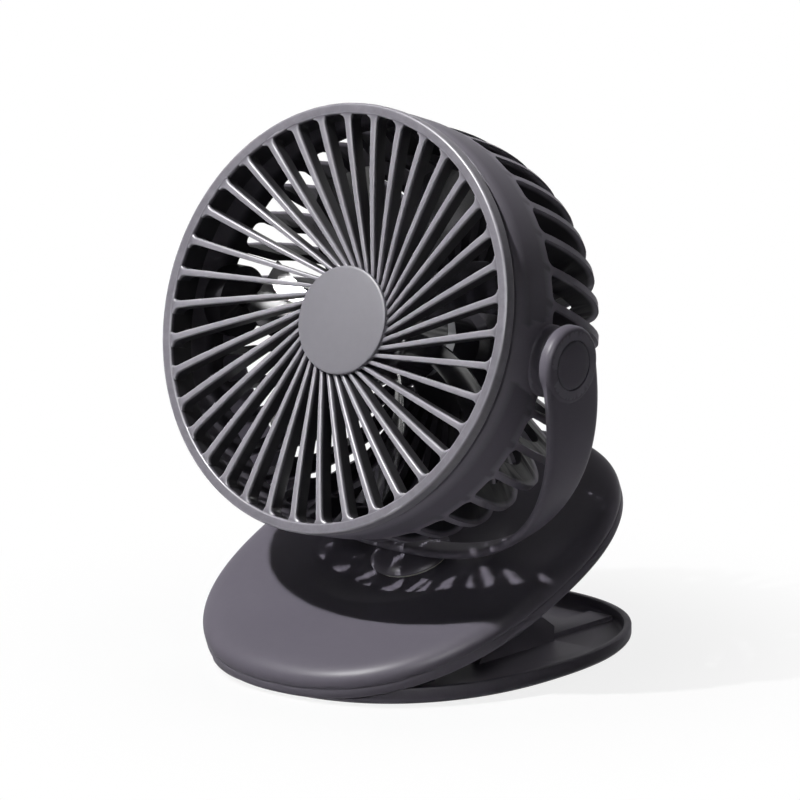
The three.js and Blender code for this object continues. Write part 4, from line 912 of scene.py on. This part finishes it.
def makeBottomCover():
    c = bottomCover
    outside = loft([ovalRing(inset, z) for inset, z in (
        (1.1, 0), (0.62, 0.1), (0.28, 0.38), (0.08, 0.75), (0, 1.15), (0, c["rim"] - 0.2), (0.1, c["rim"]))])
    inside = loft([ovalRing(inset, z) for inset, z in (
        (c["wall"] + 0.8, c["floor"]), (c["wall"], c["floor"] + 0.8), (c["wall"], c["rim"] + 1))])
    cover = without(outside, inside)
    belly = loft([
        *(boxRing(c["bellyRound"] * (1 - sin(turn)), -c["bellyDepth"] + c["bellyRound"] * (1 - cos(turn)))
          for turn in quarter(5)), boxRing(0, c["floor"] - 0.2)])
    pocket = loft([boxRing(c["bellyWall"], z) for z in (c["bellyWall"] - c["bellyDepth"], c["floor"] + 1)])
    cover = union(cover, belly)
    hinge = basePlace.inverted() @ Vector((0, clip["hingeY"], clip["hingeZ"]))
    start = clip["earX"] + clip["lowerEar"] + clip["gap"]
    foot = [(hinge.y + c["earFoot"], 0.6), (hinge.y - c["earFoot"], 0.6)]
    for low, high in ((start, start + clip["upperEar"]), (-start - clip["upperEar"], -start)):
        cover = union(cover, earPlate(foot, (hinge.y, hinge.z), c["earRadius"], low, high))
    for x, y in topShell["screws"]:
        post = rodMesh(topShell["postRadius"], c["floor"] - 0.2, c["padTop"], "Z", (x, y, 0))
        cover = union(cover, post)
    pin = rodMesh(clip["pinHole"], -clip["pinReach"], clip["pinReach"], "X", (0, hinge.y, hinge.z))
    cover = without(cover, pocket, pin, portBlock())
    for x, y in topShell["screws"]:
        cover = without(cover, rodMesh(c["screwHole"], -1, 3, "Z", (x, y, 0)),
                        rodMesh(c["headHole"], -1, c["headSeat"], "Z", (x, y, 0)))
    piece("baseCover", cover, basePlace, coverPlastic, "base", "housing_plastic", "base_bottom_cover",
          smooth=32, bevel=0.2, bevelAngle=50)


def makeLowerJaw():
    t = tray
    height, wall, floor = t["height"], t["wall"], t["floor"]

    def rings(*insets):
        return [ovalRing(inset, z, size=t) for inset, z in insets]

    outside = loft(rings(
        (5, 0), (3.5, 0.16), (2.2, 0.5), (1.2, 1), (0.5, 1.65), (0.13, 2.2), (0, 2.8),
        (0, height - 0.5), (0.15, height - 0.15), (0.5, height)))
    inside = loft(rings(
        (wall + 1.2, floor), (wall + 0.6, floor + 0.16), (wall + 0.16, floor + 0.6), (wall, floor + 1.2),
        (wall, height - 0.5), (wall - 0.15, height - 0.15), (wall - 0.5, height + 0.01),
        (wall - 0.5, height + 1)))
    top = floor + t["panelHeight"]
    panel = without(
        blockMesh((-t["panelHalfWidth"], t["panelFront"], 1), (t["panelHalfWidth"], t["panelBack"], top)),
        blockMesh((-t["notchHalfWidth"], t["panelBack"] - t["notchDepth"], floor + t["panelHeight"] / 4),
                  (t["notchHalfWidth"], t["panelBack"] + 1, top + 1)))
    jaw = union(without(outside, inside), panel)
    back = t["panelFront"] - 0.5
    foot = [(clip["hingeY"] - t["earFoot"], 1), (back, 1), (back, floor + t["earRise"])]
    for start in (clip["earX"], -clip["earX"] - clip["lowerEar"]):
        jaw = union(jaw, earPlate(foot, (clip["hingeY"], clip["hingeZ"]), t["earRadius"],
                                  start, start + clip["lowerEar"]))
    pin = rodMesh(clip["pinHole"], -clip["pinReach"], clip["pinReach"], "X",
                  (0, clip["hingeY"], clip["hingeZ"]))
    aboveJaw = moved(blockMesh((-130, -130, -clip["gap"]), (130, 130, 130)), basePlace)
    piece("clipJaw", without(jaw, pin, aboveJaw), groundPlace, coverPlastic, "lower_clip", "housing_plastic",
          "lower_jaw", smooth=32, bevel=0.25, bevelAngle=45)
    print("jaws made")


def softened(name, node, material, body, slot, bevel):
    # a piece that keeps the shape of its node, with rounded edges
    def change(work):
        bmesh.ops.remove_doubles(work, verts=work.verts, dist=2e-6)
        bmesh.ops.dissolve_limit(work, angle_limit=radians(1.5), verts=work.verts, edges=work.edges)
    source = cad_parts[node]
    mesh = edited(moved(source.data.copy(), source.matrix_world), change)
    piece(name, moved(mesh, Matrix.Scale(1 / mm, 4)), groundPlace, material, body, slot, node, bevel=bevel)


makeTopShell()
makeBottomCover()
makeLowerJaw()
softened("clipPin", "hinge_pin", zincSteel, "lower_clip", "steel", 0.15)
softened("padLower", "lower_grip_pad", gripRubber, "lower_clip", "pad_rubber", 0.25)
softened("padUpper", "upper_grip_pad", gripRubber, "base", "pad_rubber", 0.25)
print("clip pieces made")

# The other nodes stay as they are and only get their material.
finishes = (
    (cellWrap, "battery_cell"), (boardGreen, "circuit_board"), (lensClear, "indicator_light_pipe"),
    (nylonWhite, "swivel_washer", "pivot_washer_right", "pivot_washer_left"),
    (motorSteel, "motor_can"), (springSteel, "torsion_spring"),
    (zincSteel, "tact_switch", "charging_port", "swivel_retainer", "swivel_screw", "pivot_screw_right",
     "pivot_screw_left", "motor_shaft", "motor_screw_1", "motor_screw_2",
     *("cover_screw_%d" % i for i in (1, 2, 3, 4))),
)
for material, *nodes in finishes:
    for node in nodes:
        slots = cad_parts[node].data.materials
        if not len(slots):
            slots.append(material)
        for i in range(len(slots)):
            slots[i] = material

studio = {
    "azimuth": radians(39.7), "elevation": radians(13.8), "distance": 3.7,  # of the camera, in metres
    "pixelsPerMm": 3.435, "image": 800, "originAt": (419.3, 651.9), "sensor": 36, "farthest": 20,
    "aim": (0, -0.02, 0.08), "key": (-0.2, -0.54, 0.77),  # what the lamps point at, and where the key stands
    "floorHalf": 3, "floorDrop": 0.0001,  # the floor is a hair under the jaw
    "floorTones": (0.86, 0.89), "floorBounce": 0.4,  # greyer to every ray but the camera's
    "whiteFrom": 0.05, "whiteTo": 0.17, "whiteLow": 0.84,  # the floor turns white away from the origin
    "worldLight": 0.008,
}


def makeCamera():
    s = studio
    a, e = s["azimuth"], s["elevation"]
    back = Vector((sin(a) * cos(e), -cos(a) * cos(e), sin(e)))
    right = Vector((cos(a), sin(a), 0))
    up = back.cross(right)
    half = s["image"] / 2
    across = (half - s["originAt"][0]) / s["pixelsPerMm"] * mm
    rise = (s["originAt"][1] - half) / s["pixelsPerMm"] * mm
    camera = holder("camera", bpy.data.cameras.new("camera"))
    camera.matrix_world = Matrix((right, up, back)).transposed().to_4x4()
    camera.location = back * s["distance"] + right * across + up * rise
    camera.data.sensor_width = s["sensor"]
    camera.data.lens = s["sensor"] * s["distance"] / (s["image"] / s["pixelsPerMm"] * mm)
    camera.data.clip_end = s["farthest"]
    scene.camera = camera


def areaLight(name, direction, distance, size, power, diffuse=True, glossy=True):
    lamp = bpy.data.lights.new(name, "AREA")
    lamp.shape, lamp.size, lamp.energy = "DISK", size, power
    thing = holder(name, lamp)
    towards = Vector(direction).normalized()
    thing.location = Vector(studio["aim"]) + towards * distance
    thing.rotation_euler = towards.to_track_quat("Z", "Y").to_euler()
    thing.visible_diffuse, thing.visible_glossy = diffuse, glossy


def grey(tone):
    return tone, tone, tone, 1


def makeFloor():
    # nearly white near the object and white a little way off, to camera, mirror and glass rays
    s = studio
    shader = Shader("floorPale")
    place = shader.place()
    camera, mirror, glass = shader.rays()
    pale = mixColour(shader, shader.noise(place, scale=3), *(grey(tone) for tone in s["floorTones"]))
    matte = shader.node("ShaderNodeBsdfDiffuse", Color=mixColour(shader, camera, grey(s["floorBounce"]), pale))
    white = shader.node("ShaderNodeEmission", Color=grey(1), Strength=1)
    distance = shader.node("ShaderNodeVectorMath", {"operation": "LENGTH"}, outlet="Value", Vector=place)
    away = shader.ranged(distance, s["whiteFrom"], s["whiteTo"], low=s["whiteLow"])
    surface = mixShaders(shader, away * (camera + mirror + glass), matte, white)
    half = s["floorHalf"]
    mesh = meshFrom([(-half, -half, 0), (half, -half, 0), (half, half, 0), (-half, half, 0)], [(0, 1, 2, 3)])
    moved(mesh, shiftBy(0, 0, -s["floorDrop"]))
    mesh.materials.append(shader.finish(surface))
    holder("floor", mesh)


def makeWorld():
    # white to camera, mirror and glass rays, and nearly dark as a light
    shader = Shader("studio", bpy.data.worlds, "ShaderNodeOutputWorld")
    camera, mirror, glass = shader.rays()
    soft, white = (shader.node("ShaderNodeBackground", Color=grey(1), Strength=strength)
                   for strength in (studio["worldLight"], 1))
    scene.world = shader.finish(mixShaders(shader, camera + mirror + glass, soft, white))


makeCamera()
makeFloor()
makeWorld()
areaLight("key", studio["key"], distance=1.8, size=0.05, power=35)
areaLight("keyShine", studio["key"], distance=1.79, size=0.22, power=560, diffuse=False)
areaLight("sideShine", (0.75, -0.45, 0.45), distance=1.6, size=0.4, power=140, diffuse=False)
areaLight("front", (-0.25, -0.95, 0.05), distance=1.4, size=0.4, power=1.5)
areaLight("back", (-0.15, 0.95, 0.4), distance=1.6, size=0.5, power=5, glossy=False)
scene.view_settings.view_transform = "Standard"
print("studio made")
